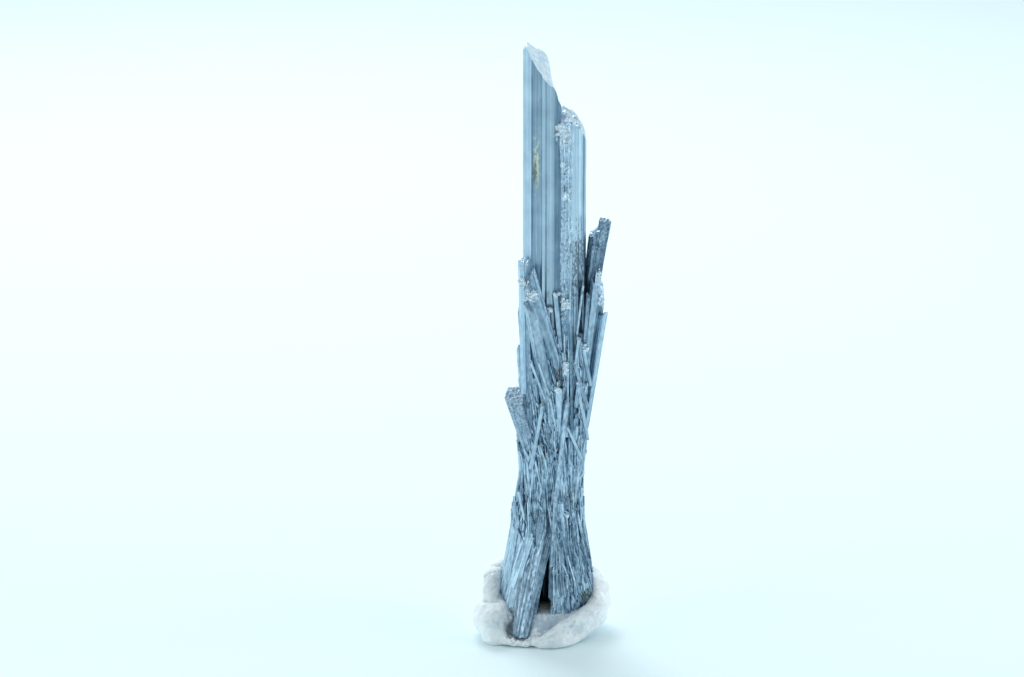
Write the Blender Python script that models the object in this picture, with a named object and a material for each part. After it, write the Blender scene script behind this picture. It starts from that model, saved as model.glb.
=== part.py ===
"""A stibnite crystal spray standing in a pinched base of white mounting putty.

The spray is one solid: straight flat-sided crystals that grew together from a tight waist. A tall ribbed blade
rises out of it with a broken end, shorter blades lean out round the foot of that one, and a sheaf of thin laths
opens towards the ground. The putty is the second solid: a pressed cake with a raised wall that holds the sheaf.

Lengths are in millimetres until a mesh is written, where MM turns them into metres. +Z is up, -Y is the front,
and the origin is on the ground under the middle of the putty. Azimuths are in degrees from +X, through the back.
"""

import math
import random
from dataclasses import dataclass

import bmesh
import bpy
from mathutils import Vector

MM = 0.001
SEED = 30

# The sheaf's outer form, from the ground up: height, left, right, front and back.
SHEAF_PROFILE = (
    (3.0, -5.4, 5.9, -4.9, 4.6),
    (6.0, -5.4, 6.4, -5.0, 4.8),
    (10.0, -4.5, 6.0, -4.6, 4.3),
    (15.0, -4.1, 5.3, -4.0, 3.7),
    (17.5, -3.75, 5.2, -3.7, 3.5),
    (19.5, -2.95, 5.2, -3.4, 3.4),
    (22.0, -3.0, 5.2, -3.3, 3.3),
    (25.0, -3.4, 5.5, -3.3, 3.3),
    (31.0, -3.0, 6.2, -3.2, 3.2),
    (37.0, -2.7, 6.6, -2.9, 3.0),
    (45.0, -2.5, 5.6, -2.4, 2.6),
)
SHEAF_FOOT = 4.0
CORE_LEVELS = (4.5, 6.0, 10.0, 15.0, 19.0, 25.0, 31.0, 37.0, 42.0)
CORE_SIDES = 12
CORE_INSET = 0.85

# The tall blade is two columns side by side. Each plan runs round its corners from the left, front side first.
COLUMN_ROOT = 21.0
TALL_PLAN = (
    (-2.55, 0.2), (-2.35, -0.8), (-1.5, -1.6), (-1.3, -1.35), (-0.35, -1.8), (-0.15, -2.05), (0.2, -1.85),
    (0.6, -2.15), (1.0, -2.0), (1.4, -2.2), (2.1, -1.9), (2.25, 1.6), (1.5, 2.1), (1.2, 1.9), (0.3, 2.3),
    (-0.7, 1.95), (-0.9, 1.7), (-1.9, 1.2), (-2.4, 0.7),
)
SHOULDER_PLAN = (
    (1.3, -0.2), (1.5, -1.85), (3.5, -2.0), (4.3, -1.7), (4.85, -1.0), (5.05, -1.05), (5.25, -0.2), (5.1, 0.7),
    (4.3, 1.6), (3.6, 1.75), (3.3, 1.55), (2.4, 2.15), (1.5, 1.85),
)
# The height of each column's broken end across its width: along its front, and along its back.
TALL_BREAK = (
    (-2.6, 75.0, 75.2), (-2.1, 75.9, 76.4), (-1.5, 74.6, 76.1), (-0.4, 73.1, 75.5), (0.4, 72.2, 74.9),
    (0.8, 71.9, 73.7), (1.2, 71.7, 71.4), (1.9, 70.2, 69.4), (2.3, 68.9, 68.6),
)
SHOULDER_BREAK = ((1.3, 66.6, 68.6), (2.9, 67.2, 68.8), (4.2, 67.0, 67.8), (4.9, 65.4, 66.6), (5.3, 64.0, 64.8))
COLUMN_HALF_DEPTH = 2.1
COLUMN_RAGGED = 0.2
CRYSTAL_RAGGED = 0.12
POKED_WIDTH = 1.7

# The putty's wall all round: azimuth, outer reach, height, and the reach on the ground as a share of the outer.
PUTTY_WALL = (
    (0, 8.5, 5.6, 0.70), (30, 8.5, 7.6, 0.76), (60, 8.1, 7.4, 0.80), (90, 7.72, 6.6, 0.84),
    (120, 7.9, 7.6, 0.84), (150, 8.4, 9.3, 0.86), (172, 8.5, 9.6, 0.86), (190, 8.5, 7.4, 0.86),
    (205, 8.5, 5.6, 0.86), (220, 8.3, 5.1, 0.86), (228, 8.0, 3.6, 0.88), (232, 7.8, 0.9, 0.95),
    (263, 7.8, 0.9, 0.95), (270, 7.7, 2.2, 0.92), (285, 7.7, 3.6, 0.84), (300, 7.8, 4.3, 0.74),
    (320, 8.0, 4.8, 0.68), (340, 8.3, 5.2, 0.66), (360, 8.5, 5.6, 0.70),
)
PUTTY_STEPS = 48
PUTTY_FLOOR = 3.5
POCKET_CLEARANCE = 0.75
# The front leg stands in a notch that is open to the front.
NOTCH = (230.0, 266.0)
NOTCH_FLOOR = 0.9
NOTCH_REACH = 4.15
LEG_FOOT = 1.5


@dataclass(frozen=True)
class Crystal:
    """A straight crystal, from the middle of its root to the middle of its broken end.

    faces is the azimuth that its broad side looks to, and break_towards the one that its sloping end looks to.
    root_share is its width at the root as a share of that at the end. A level crystal's end is cut level.
    """

    root: tuple
    end: tuple
    width: float
    depth: float
    faces: float = -90.0
    break_slope: float = 35.0
    break_towards: float = -60.0
    root_share: float = 0.8
    ribs: int = 1
    level: bool = False


@dataclass(frozen=True)
class LathTier:
    """A ring of thin crystals in the sheaf, each from one height to another with a little chance in it."""

    count: int
    root_height: float
    end_height: float
    height_play: float
    root_inset: float
    end_inset: float
    azimuth_play: float
    level: bool = False


# The crystals that lean out round the foot of the tall blade, and the needles that lie on them.
BLADES = (
    Crystal((3.0, -2.1, 31.1), (2.7, -2.35, 67.6), 1.8, 1.0, break_towards=-100, root_share=0.7),
    Crystal(
        (2.3, -2.5, 34.3), (-2.1, -2.6, 47.3), 2.2, 1.3, faces=-100, break_slope=60, break_towards=-130,
        root_share=0.3,
    ),
    Crystal((-2.2, -1.5, 30.6), (-2.6, -1.9, 49.3), 1.1, 1.2, faces=-130),
    Crystal((-1.9, -1.2, 25.6), (-2.7, -1.3, 38.2), 0.9, 1.3, faces=-150, break_slope=50, break_towards=150),
    Crystal((-1.5, -1.8, 31.0), (-2.0, -2.0, 44.0), 1.0, 0.9, faces=-110),
    Crystal((1.6, -2.6, 26.0), (-1.5, -2.5, 44.2), 2.0, 1.0, faces=-85, break_slope=50, root_share=0.6),
    Crystal((0.2, -2.9, 32.0), (-1.6, -3.1, 36.4), 0.5, 0.6),
    Crystal((0.9, -2.9, 32.0), (-0.6, -3.1, 36.2), 0.5, 0.6),
    Crystal((1.6, -3.0, 17.7), (3.0, -3.0, 33.0), 1.0, 0.8, root_share=1.0),
    Crystal((1.9, -3.0, 26.2), (1.9, -3.3, 32.9), 1.25, 0.8, break_slope=20, root_share=0.5),
    Crystal((4.0, -2.1, 38.0), (4.9, -2.4, 45.9), 0.5, 0.6),
    Crystal((3.9, -2.4, 35.0), (4.4, -2.8, 39.3), 0.6, 0.7),
    Crystal((5.9, -2.1, 33.0), (4.9, -2.4, 38.5), 0.6, 0.7),
    Crystal((5.6, -2.6, 30.0), (4.0, -3.0, 35.7), 0.6, 0.7),
    Crystal((5.2, -1.2, 27.5), (7.3, -1.3, 42.0), 1.1, 1.5, faces=-60, break_towards=160),
    Crystal((5.0, -1.7, 32.5), (6.4, -1.8, 45.6), 1.3, 1.2, faces=-80, break_slope=60, break_towards=20),
    Crystal((4.8, -2.0, 33.6), (5.6, -2.1, 44.6), 0.7, 0.8),
    Crystal((3.9, 0.5, 28.0), (7.0, 0.5, 52.4), 2.4, 2.3, faces=-80, break_slope=30, break_towards=190, ribs=3),
    Crystal((6.6, 0.3, 47.5), (7.5, 0.4, 53.7), 0.9, 0.9, break_slope=20),
    Crystal((5.7, -0.5, 33.2), (7.6, -0.6, 47.3), 1.3, 1.3, faces=-50, break_slope=50, break_towards=0),
    Crystal((-1.2, -1.2, 22.7), (-3.6, -1.6, 31.4), 2.5, 2.2, faces=-105, break_slope=45, break_towards=-98, ribs=2),
    Crystal((-1.5, -2.8, 22.3), (-0.1, -3.2, 30.8), 0.65, 0.7, root_share=1.0),
    Crystal((1.2, -3.0, 20.2), (-0.4, -3.3, 25.4), 0.5, 0.7),
    Crystal((1.9, -3.0, 25.9), (0.8, -3.2, 31.8), 0.5, 0.7),
    Crystal((4.8, -2.7, 23.6), (3.0, -3.2, 28.0), 0.5, 0.7),
    Crystal((5.6, -2.1, 25.9), (4.2, -2.8, 33.9), 0.6, 0.7),
    Crystal((0.9, 1.8, 24.0), (0.2, 3.1, 46.5), 2.3, 1.3, faces=95, break_slope=45, break_towards=150, ribs=2),
    Crystal((3.3, 1.7, 23.0), (4.6, 3.0, 40.6), 1.9, 1.2, faces=80, break_slope=40, break_towards=40, ribs=2),
    Crystal((-0.4, 1.6, 21.0), (-2.0, 2.7, 38.0), 1.8, 1.3, faces=115, break_slope=30, break_towards=120),
    Crystal((4.3, 0.9, 26.0), (6.3, 1.9, 36.6), 1.5, 1.2, faces=40),
    Crystal((-1.6, 0.8, 24.0), (-2.6, 1.0, 42.6), 1.6, 1.1, faces=170, break_slope=50, break_towards=200),
)

# The broader crystals at the front of the open foot, from the waist down to their level ends.
LEGS = (
    Crystal((0.9, -2.3, 17.5), (-2.5, -5.6, LEG_FOOT), 2.2, 1.4, faces=-110, root_share=0.9, ribs=2, level=True),
    Crystal((-0.2, -2.6, 20.0), (-3.8, -3.2, SHEAF_FOOT), 1.8, 1.2, faces=-120, ribs=2, level=True),
    Crystal((-1.6, -1.7, 19.5), (-4.5, -1.9, SHEAF_FOOT), 1.6, 1.2, faces=-150, ribs=2, level=True),
    Crystal((1.5, -2.7, 17.8), (1.3, -4.0, SHEAF_FOOT), 1.2, 1.2, level=True),
    Crystal((2.4, -2.7, 19.5), (3.0, -3.9, SHEAF_FOOT), 1.5, 1.2, faces=-88, ribs=2, level=True),
    Crystal((3.4, -2.5, 20.0), (4.3, -2.9, SHEAF_FOOT), 1.5, 1.2, faces=-75, ribs=2, level=True),
    Crystal((4.3, -1.8, 20.5), (5.3, -1.6, SHEAF_FOOT), 1.5, 1.2, faces=-45, ribs=2, level=True),
)

LATH_TIERS = (
    LathTier(17, 23.0, SHEAF_FOOT, 4.0, 1.0, 0.6, 5.0, level=True),
    LathTier(14, 15.0, 6.2, 2.0, 0.7, 0.4, 8.0),
    LathTier(14, 14.0, 28.0, 4.0, 0.6, 0.4, 16.0),
    LathTier(12, 24.0, 37.0, 3.5, 0.6, 0.4, 14.0),
)
LATH_WIDTHS = (0.8, 1.3)
LATH_DEPTHS = (0.8, 1.1)


def between(rows, at):
    """The values of a table's later columns at one place in its first, in straight runs from row to row."""
    if at <= rows[0][0]:
        return rows[0][1:]
    for low, high in zip(rows, rows[1:]):
        if at <= high[0]:
            share = (at - low[0]) / (high[0] - low[0])
            return tuple(a + (b - a) * share for a, b in zip(low[1:], high[1:]))
    return rows[-1][1:]


def compass(azimuth):
    """The level direction of an azimuth."""
    turn = math.radians(azimuth)
    return Vector((math.cos(turn), math.sin(turn), 0.0))


def sheaf_point(height, azimuth, inset=0.0):
    """A point on the sheaf's outer form, or inside it by the inset."""
    left, right, front, back = between(SHEAF_PROFILE, height)
    middle = Vector(((left + right) / 2, (front + back) / 2, height))
    reach = Vector(((right - left) / 2 - inset, (back - front) / 2 - inset, 0.0))
    return middle + reach * compass(azimuth)


def crystal_outline(width, depth, ribs):
    """The cross-section of a crystal: a flattened prism, with a shallow groove between the ribs of each side."""
    half, thick = width / 2, depth / 2
    steps = 2 * ribs - 1
    side = []
    for step in range(steps + 1):
        groove = 0.2 * thick if ribs > 1 and 0 < step < steps and step % 2 else 0.0
        side.append((half * 0.62 * (2 * step / steps - 1), thick - groove))
    return [(half, 0.0)] + side[::-1] + [(-half, 0.0)] + [(across, -out) for across, out in side]


def add_prism(mesh, root_corners, end_corners):
    """Adds a closed prism that is extruded from its root, and returns its end face."""
    ring = [mesh.verts.new(corner) for corner in root_corners]
    root = mesh.faces.new(ring)
    grown = bmesh.ops.extrude_face_region(mesh, geom=[root], use_keep_orig=True)["geom"]
    end = next(item for item in grown if isinstance(item, bmesh.types.BMFace))
    moved = [min(end.verts, key=lambda vert: (vert.co - corner.co).length) for corner in ring]
    for vert, corner in zip(moved, end_corners):
        vert.co = corner
    return end


def add_crystal(mesh, crystal, dice):
    """Adds one crystal with a sloping, slightly uneven end."""
    root, end = Vector(crystal.root), Vector(crystal.end)
    along = (end - root).normalized()
    looks = compass(crystal.faces)
    out = (looks - along * looks.dot(along)).normalized()
    across = out.cross(along)
    fall = compass(crystal.break_towards) * math.tan(math.radians(crystal.break_slope))
    root_corners, end_corners = [], []
    for u, v in crystal_outline(crystal.width, crystal.depth, crystal.ribs):
        side = across * u + out * v
        if crystal.level:
            reach = -side.z / along.z
        else:
            reach = -side.dot(fall)
        root_corners.append(root + side * crystal.root_share)
        end_corners.append(end + side + along * (reach + dice.uniform(-CRYSTAL_RAGGED, CRYSTAL_RAGGED)))
    face = add_prism(mesh, root_corners, end_corners)
    if crystal.width > POKED_WIDTH:
        bmesh.ops.poke(mesh, faces=[face])


def add_column(mesh, plan, broken, dice):
    """Adds one upright column of the tall blade, with its broken end at the heights of the table."""

    def top_of(x, y):
        front, back = between(broken, x)
        share = min(max((y / COLUMN_HALF_DEPTH + 1) / 2, 0.0), 1.0)
        return front + (back - front) * share + dice.uniform(-COLUMN_RAGGED, COLUMN_RAGGED)

    end = add_prism(mesh, [(x, y, COLUMN_ROOT) for x, y in plan], [(x, y, top_of(x, y)) for x, y in plan])
    bmesh.ops.inset_region(mesh, faces=[end], thickness=0.7)
    for vert in end.verts:
        vert.co.z = top_of(vert.co.x, vert.co.y)


def tier_crystals(tier, dice):
    """The thin crystals of one tier, spread evenly round the sheaf with chance in their places."""
    for step in range(tier.count):
        azimuth = 360.0 * (step + 0.5) / tier.count
        root_at = azimuth + dice.uniform(-tier.azimuth_play, tier.azimuth_play)
        end_at = azimuth + dice.uniform(-tier.azimuth_play, tier.azimuth_play)
        root = sheaf_point(tier.root_height + dice.uniform(-2.0, 2.0), root_at, tier.root_inset)
        play = 0.0 if tier.level else dice.uniform(-tier.height_play, tier.height_play)
        end = sheaf_point(tier.end_height + play, end_at, tier.end_inset)
        yield Crystal(
            tuple(root), tuple(end), dice.uniform(*LATH_WIDTHS), dice.uniform(*LATH_DEPTHS),
            faces=azimuth + dice.uniform(-20, 20), break_slope=dice.uniform(10, 45),
            break_towards=azimuth + dice.uniform(-90, 90), level=tier.level,
        )


def add_loft(mesh, rings):
    """Adds a closed loft through rings of corners, with a flat face over the first ring and the last."""
    loops = []
    for ring in rings:
        verts = [mesh.verts.new(corner) for corner in ring]
        loops.append([mesh.edges.new(pair) for pair in zip(verts, verts[1:] + verts[:1])])
    for low, high in zip(loops, loops[1:]):
        bmesh.ops.bridge_loops(mesh, edges=low + high)
    for loop in (loops[0], loops[-1]):
        bmesh.ops.contextual_create(mesh, geom=loop)


def outer_shell(mesh):
    """Deletes all but the largest shell, which fills the pockets that crystals close between them."""
    shells, seen = [], set()
    for first in mesh.faces:
        if first in seen:
            continue
        seen.add(first)
        shell = [first]
        for face in shell:
            for edge in face.edges:
                fresh = [near for near in edge.link_faces if near not in seen]
                seen.update(fresh)
                shell.extend(fresh)
        shells.append(shell)
    shells.sort(key=len)
    inner = [face for shell in shells[:-1] for face in shell]
    bmesh.ops.delete(mesh, geom=inner, context="FACES")


def mesh_object(name, mesh, scale=MM):
    """Writes a bmesh to a new object in triangles, facing out, and frees it."""
    bmesh.ops.triangulate(mesh, faces=mesh.faces)
    bmesh.ops.recalc_face_normals(mesh, faces=mesh.faces)
    bmesh.ops.scale(mesh, vec=(scale, scale, scale), verts=mesh.verts)
    data = bpy.data.meshes.new(name)
    mesh.to_mesh(data)
    mesh.free()
    thing = bpy.data.objects.new(name, data)
    bpy.context.scene.collection.objects.link(thing)
    return thing


def finish(name, colour, metallic, roughness):
    """A Principled material with the piece's colour, metallic value and roughness."""
    material = bpy.data.materials.new(name)
    material.use_nodes = True
    shader = material.node_tree.nodes["Principled BSDF"]
    shader.inputs["Base Color"].default_value = (*colour, 1.0)
    shader.inputs["Metallic"].default_value = metallic
    shader.inputs["Roughness"].default_value = roughness
    return material


def make_spray():
    """The crystal spray: the core and every crystal, grown together into one solid."""
    dice = random.Random(SEED)
    crystals = bmesh.new()
    add_column(crystals, TALL_PLAN, TALL_BREAK, dice)
    add_column(crystals, SHOULDER_PLAN, SHOULDER_BREAK, dice)
    for crystal in BLADES + LEGS:
        add_crystal(crystals, crystal, dice)
    for tier in LATH_TIERS:
        for crystal in tier_crystals(tier, dice):
            add_crystal(crystals, crystal, dice)
    separate = mesh_object("separate_crystals", crystals)

    core = bmesh.new()
    azimuths = [360.0 * step / CORE_SIDES for step in range(CORE_SIDES)]
    add_loft(core, [[sheaf_point(level, azimuth, CORE_INSET) for azimuth in azimuths] for level in CORE_LEVELS])
    heart = mesh_object("heart", core)
    union = heart.modifiers.new("grown_together", "BOOLEAN")
    union.operation = "UNION"
    union.solver = "EXACT"
    union.use_self = True
    union.object = separate

    grown = bmesh.new()
    grown.from_object(heart, bpy.context.evaluated_depsgraph_get())
    outer_shell(grown)
    bpy.data.objects.remove(separate)
    bpy.data.objects.remove(heart)
    spray = mesh_object("crystal_spray", grown, scale=1.0)
    spray.data.materials.append(finish("stibnite", (0.24, 0.36, 0.45), 0.75, 0.38))


def putty_section(azimuth):
    """The putty's section at one azimuth, from the ground up its outside, over the rim and down to the floor."""
    reach, height, ground_share = between(PUTTY_WALL, azimuth)
    in_notch = NOTCH[0] < azimuth < NOTCH[1]
    way = compass(azimuth)

    def outside(share, rise):
        return way * reach * share + Vector((0.0, 0.0, height * rise))

    def inside(level, spare=0.0):
        if in_notch:
            return way * (NOTCH_REACH + spare) + Vector((0.0, 0.0, level))
        return sheaf_point(level, azimuth, -POCKET_CLEARANCE - spare)

    crest = inside(height)
    if in_notch:
        lip = (way * (NOTCH_REACH + 1.6) + crest.z * Vector((0, 0, 1)), inside(NOTCH_FLOOR, 0.1))
    else:
        lip = (inside(height + (PUTTY_FLOOR - height) * 0.2), inside(height + (PUTTY_FLOOR - height) * 0.8))
    return (
        outside(ground_share, 0.0),
        outside((1 + ground_share) / 2, 0.22),
        outside(1.0, 0.55),
        outside(1.0, 0.85).lerp(crest, 0.18),
        outside(1.0, 1.0).lerp(crest, 0.5),
        *lip,
        inside(PUTTY_FLOOR),
    )


def make_putty():
    """The putty base: sections lofted all round the sheaf, closed by the ground face and the floor."""
    putty = bmesh.new()
    sections = [putty_section(360.0 * step / PUTTY_STEPS) for step in range(PUTTY_STEPS)]
    add_loft(putty, zip(*sections))
    base = mesh_object("putty_base", putty)
    base.data.materials.append(finish("white_putty", (0.78, 0.83, 0.85), 0.0, 0.75))


def main():
    """Clears the scene and builds the two pieces."""
    for thing in list(bpy.data.objects):
        bpy.data.objects.remove(thing)
    make_spray()
    make_putty()


if __name__ == "__main__":
    main()
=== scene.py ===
"""The finished look of a stibnite crystal spray that stands in pinched white putty.

Grows the spray's striated crystals and their broken ends, shapes the putty round their foot, and sets
them in a pale studio. Sizes are in millimetres until a mesh is written, where MM turns them into metres.
+Z is up, -Y is the front, and azimuths are in degrees from +X, through the back.
"""

from __future__ import annotations

import logging
import math
import random
from dataclasses import dataclass
from enum import Enum
from typing import Callable, Iterable, Iterator, Sequence

import bmesh
import bpy
from mathutils import Matrix, Vector, noise
from mathutils.geometry import intersect_point_line

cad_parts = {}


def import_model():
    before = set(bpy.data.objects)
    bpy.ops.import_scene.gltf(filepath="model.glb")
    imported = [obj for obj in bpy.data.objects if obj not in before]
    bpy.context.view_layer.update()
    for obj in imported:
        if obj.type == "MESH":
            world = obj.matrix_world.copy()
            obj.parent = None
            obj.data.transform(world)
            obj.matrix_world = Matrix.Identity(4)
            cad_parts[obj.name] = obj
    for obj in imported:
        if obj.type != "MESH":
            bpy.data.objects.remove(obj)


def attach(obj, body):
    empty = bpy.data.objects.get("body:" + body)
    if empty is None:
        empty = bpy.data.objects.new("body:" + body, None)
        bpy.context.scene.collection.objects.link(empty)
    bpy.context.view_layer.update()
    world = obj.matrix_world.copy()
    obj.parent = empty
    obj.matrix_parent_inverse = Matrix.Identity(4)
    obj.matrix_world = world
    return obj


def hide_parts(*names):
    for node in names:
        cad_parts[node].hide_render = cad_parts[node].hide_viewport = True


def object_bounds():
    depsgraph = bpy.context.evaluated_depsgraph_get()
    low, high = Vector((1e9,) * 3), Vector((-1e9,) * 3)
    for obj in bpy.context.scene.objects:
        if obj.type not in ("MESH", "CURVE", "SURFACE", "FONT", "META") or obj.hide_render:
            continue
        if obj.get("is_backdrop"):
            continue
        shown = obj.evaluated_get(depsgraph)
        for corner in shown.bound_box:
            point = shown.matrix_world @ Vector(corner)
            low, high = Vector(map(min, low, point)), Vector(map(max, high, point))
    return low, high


LOG = logging.getLogger("stibnite_spray")
MM = 0.001
UP = Vector((0.0, 0.0, 1.0))
SPRAY_NODE = "crystal_spray"
PUTTY_NODE = "putty_base"
RANGE_ENDS = ("From Min", "From Max", "To Min", "To Max")

Row = tuple[float, ...]
Colour = tuple[float, float, float]
Socket = bpy.types.NodeSocket


# ---- Small helpers -------------------------------------


def between(rows: Sequence[Row], at: float) -> Row:
    """Reads a table between its rows.

    Args:
        rows: The table, in rising order of its first column.
        at: The place in the first column.

    Returns:
        The values of the later columns there, in straight runs from row to row.
    """
    if at <= rows[0][0]:
        return rows[0][1:]
    for low, high in zip(rows, rows[1:]):
        if at <= high[0]:
            share = (at - low[0]) / (high[0] - low[0])
            return tuple(a + (b - a) * share for a, b in zip(low[1:], high[1:]))
    return rows[-1][1:]


def compass(azimuth: float) -> Vector:
    """Returns the level direction of an azimuth."""
    turn = math.radians(azimuth)
    return Vector((math.cos(turn), math.sin(turn), 0.0))


def closed_pairs(ring: Sequence) -> Iterator[tuple]:
    """Returns each item of a closed ring with the one after it."""
    return zip(ring, [*ring[1:], ring[0]])


def first_ring(mesh: bmesh.types.BMesh, places: Sequence[Vector]) -> list[bmesh.types.BMVert]:
    """Returns the vertices of a new closed ring at the places, joined by edges."""
    ring = bmesh.ops.create_circle(mesh, segments=len(places), radius=1.0)["verts"]
    for vert, place in zip(ring, places):
        vert.co = place
    return ring


def rim_of(mesh: bmesh.types.BMesh, ring: Sequence[bmesh.types.BMVert]) -> list[bmesh.types.BMEdge]:
    """Returns the edges of a closed ring."""
    return [mesh.edges.get(pair) for pair in closed_pairs(ring)]


def next_ring(mesh: bmesh.types.BMesh, ring: Sequence[bmesh.types.BMVert],
              places: Sequence[Vector]) -> tuple[list[bmesh.types.BMVert], list[bmesh.types.BMFace]]:
    """Extrudes a closed ring to new places.

    Args:
        mesh: The mesh that the ring is in.
        ring: The ring's vertices.
        places: Where the new ring's vertices go, in the same order.

    Returns:
        The new ring's vertices, and the faces between the rings.
    """
    grown = bmesh.ops.extrude_edge_only(mesh, edges=rim_of(mesh, ring))["geom"]
    new = {item for item in grown if isinstance(item, bmesh.types.BMVert)}
    above = [next(e.other_vert(v) for e in v.link_edges if e.other_vert(v) in new) for v in ring]
    for vert, place in zip(above, places):
        vert.co = place
    return above, [item for item in grown if isinstance(item, bmesh.types.BMFace)]


def rumple(place: Vector, octaves: Sequence[tuple[float, float]]) -> float:
    """Returns the sum of noises at a place, each with its scale and its height."""
    return sum(height * noise.noise(place * scale) for scale, height in octaves)


def in_order(items: Iterable[bmesh.types.BMVert | bmesh.types.BMFace]) -> list:
    """Returns vertices or faces in the order of their places, so that the draws of chance repeat."""
    def place(item: bmesh.types.BMVert | bmesh.types.BMFace) -> tuple[float, ...]:
        """Returns the place that an item is sorted by."""
        return (item.co if isinstance(item, bmesh.types.BMVert) else item.calc_center_median()).to_tuple(5)

    return sorted(items, key=place)


def smooth_share(value: float, low: float, high: float) -> float:
    """Returns how far a value is from low to high, as 0 to 1 with soft ends."""
    share = min(max((value - low) / (high - low), 0.0), 1.0)
    return share * share * (3.0 - 2.0 * share)


# ---- Finishes ------------------------------------------


class NodeBench:
    """A bench on which one material's nodes are laid out and joined."""

    NOISE_RANGE = (0.3, 0.7)

    def __init__(self, name: str) -> None:
        """Starts a material with a Principled shader."""
        self.material = bpy.data.materials.new(name)
        self.material.use_nodes = True
        self.tree = self.material.node_tree
        self.shader = self.tree.nodes["Principled BSDF"]

    def join(self, source: Socket | float | Row, target: Socket) -> None:
        """Links a socket to another, or sets the target's own value."""
        if isinstance(source, Socket):
            self.tree.links.new(source, target)
        else:
            target.default_value = source

    def dress(self, inputs: dict[str, Socket | float | Row]) -> None:
        """Gives the shader's inputs, by their names, a socket or a value each."""
        for name, source in inputs.items():
            self.join(source, self.shader.inputs[name])

    def coordinates(self) -> Socket:
        """Returns the object's own coordinates, in metres."""
        return self.tree.nodes.new("ShaderNodeTexCoord").outputs["Object"]

    def grain(self) -> Socket:
        """Returns the crystals' own map in millimetres: round them along U, down their length along V."""
        node = self.tree.nodes.new("ShaderNodeUVMap")
        node.uv_map = "grain"
        return node.outputs["UV"]

    def attribute(self, name: str) -> Socket:
        """Returns a number that is stored on the mesh's faces."""
        node = self.tree.nodes.new("ShaderNodeAttribute")
        node.attribute_name = name
        return node.outputs["Fac"]

    def stretched(self, vector: Socket, scale: Row, place: Row = (0.0, 0.0, 0.0)) -> Socket:
        """Returns a vector scaled along each axis, after it is moved to a place."""
        node = self.tree.nodes.new("ShaderNodeMapping")
        node.inputs["Scale"].default_value = scale
        node.inputs["Location"].default_value = tuple(-p * s for p, s in zip(place, scale))
        self.join(vector, node.inputs["Vector"])
        return node.outputs["Vector"]

    def noise(self, vector: Socket, scale: float, detail: float = 2.0) -> Socket:
        """Returns a noise of 0 to 1."""
        node = self.tree.nodes.new("ShaderNodeTexNoise")
        node.inputs["Scale"].default_value = scale
        node.inputs["Detail"].default_value = detail
        self.join(vector, node.inputs["Vector"])
        return node.outputs["Fac"]

    def ranged(self, value: Socket, low: float, high: float, to_low: float = 0.0,
               to_high: float = 1.0) -> Socket:
        """Returns a value turned from one range to another, held inside it."""
        node = self.tree.nodes.new("ShaderNodeMapRange")
        self.join(value, node.inputs["Value"])
        for name, number in zip(RANGE_ENDS, (low, high, to_low, to_high)):
            node.inputs[name].default_value = number
        return node.outputs["Result"]

    def swing(self, noise_value: Socket, reach: float) -> Socket:
        """Returns a noise turned to run from -reach to +reach over most of its values."""
        return self.ranged(noise_value, *self.NOISE_RANGE, -reach, reach)

    def maths(self, operation: str, first: Socket | float, second: Socket | float) -> Socket:
        """Returns a sum, product or other operation on two numbers."""
        node = self.tree.nodes.new("ShaderNodeMath")
        node.operation = operation
        self.join(first, node.inputs[0])
        self.join(second, node.inputs[1])
        return node.outputs["Value"]

    def length(self, vector: Socket) -> Socket:
        """Returns the length of a vector."""
        node = self.tree.nodes.new("ShaderNodeVectorMath")
        node.operation = "LENGTH"
        self.join(vector, node.inputs[0])
        return node.outputs["Value"]

    def blended(self, share: Socket, first: Socket | Colour, second: Socket | Colour) -> Socket:
        """Mixes two colours.

        Args:
            share: How much of the second, from 0 to 1.
            first: The first colour.
            second: The second colour.

        Returns:
            The mixed colour.
        """
        node = self.tree.nodes.new("ShaderNodeMix")
        node.data_type = "RGBA"
        self.join(share, node.inputs["Factor"])
        for colour, name in ((first, "A"), (second, "B")):
            socket = next(s for s in node.inputs if s.name == name and s.type == "RGBA")
            self.join((*colour, 1.0) if isinstance(colour, tuple) else colour, socket)
        return next(s for s in node.outputs if s.type == "RGBA")

    def bump(self, height: Socket, distance: float, strength: float = 1.0,
             under: Socket | None = None) -> Socket:
        """Raises the surface's normal by a height.

        Args:
            height: The height, from 0 to 1.
            distance: How high 1 is, in millimetres.
            strength: How strongly it shows.
            under: The normal that it is raised over, if it isn't the surface's own.

        Returns:
            The raised normal.
        """
        node = self.tree.nodes.new("ShaderNodeBump")
        node.inputs["Distance"].default_value = distance * MM
        node.inputs["Strength"].default_value = strength
        self.join(height, node.inputs["Height"])
        if under is not None:
            self.join(under, node.inputs["Normal"])
        return node.outputs["Normal"]


@dataclass(frozen=True)
class StainOrPaintedLight:
    """A small patch of another colour: its middle and reach in millimetres, and how strong it is.
    It serves real stains, and also painted shade and painted highlights.

    EDGE is where it fades out and where it is full, as shares of its reach, and RAGGED is how far a noise
    moves that.
    """

    EDGE = (1.0, 0.4)
    RAGGED = 0.7

    middle: Row
    reach: Row
    colour: Colour
    strength: float = 1.0

    def laid(self, bench: NodeBench, colour: Socket, ragged: Socket) -> Socket:
        """Returns a colour with this patch over it.

        Args:
            bench: The bench of the material.
            colour: The colour under the patch.
            ragged: A noise that makes the patch's edge uneven.
        """
        scale = tuple(1.0 / (reach * MM) for reach in self.reach)
        middle = tuple(value * MM for value in self.middle)
        away = bench.length(bench.stretched(bench.coordinates(), scale, middle))
        away = bench.maths("ADD", away, bench.swing(ragged, self.RAGGED))
        return bench.blended(bench.ranged(away, *self.EDGE, 0.0, self.strength), colour, self.colour)


# Pale blue-white painted highlight, for the light that broken places catch.
BREAK_HIGHLIGHT: Colour = (0.86, 0.95, 1.0)
# Near-black painted shade, for the dark cavity beside the front leg.
CAVITY_SHADE: Colour = (0.012, 0.017, 0.024)


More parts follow.
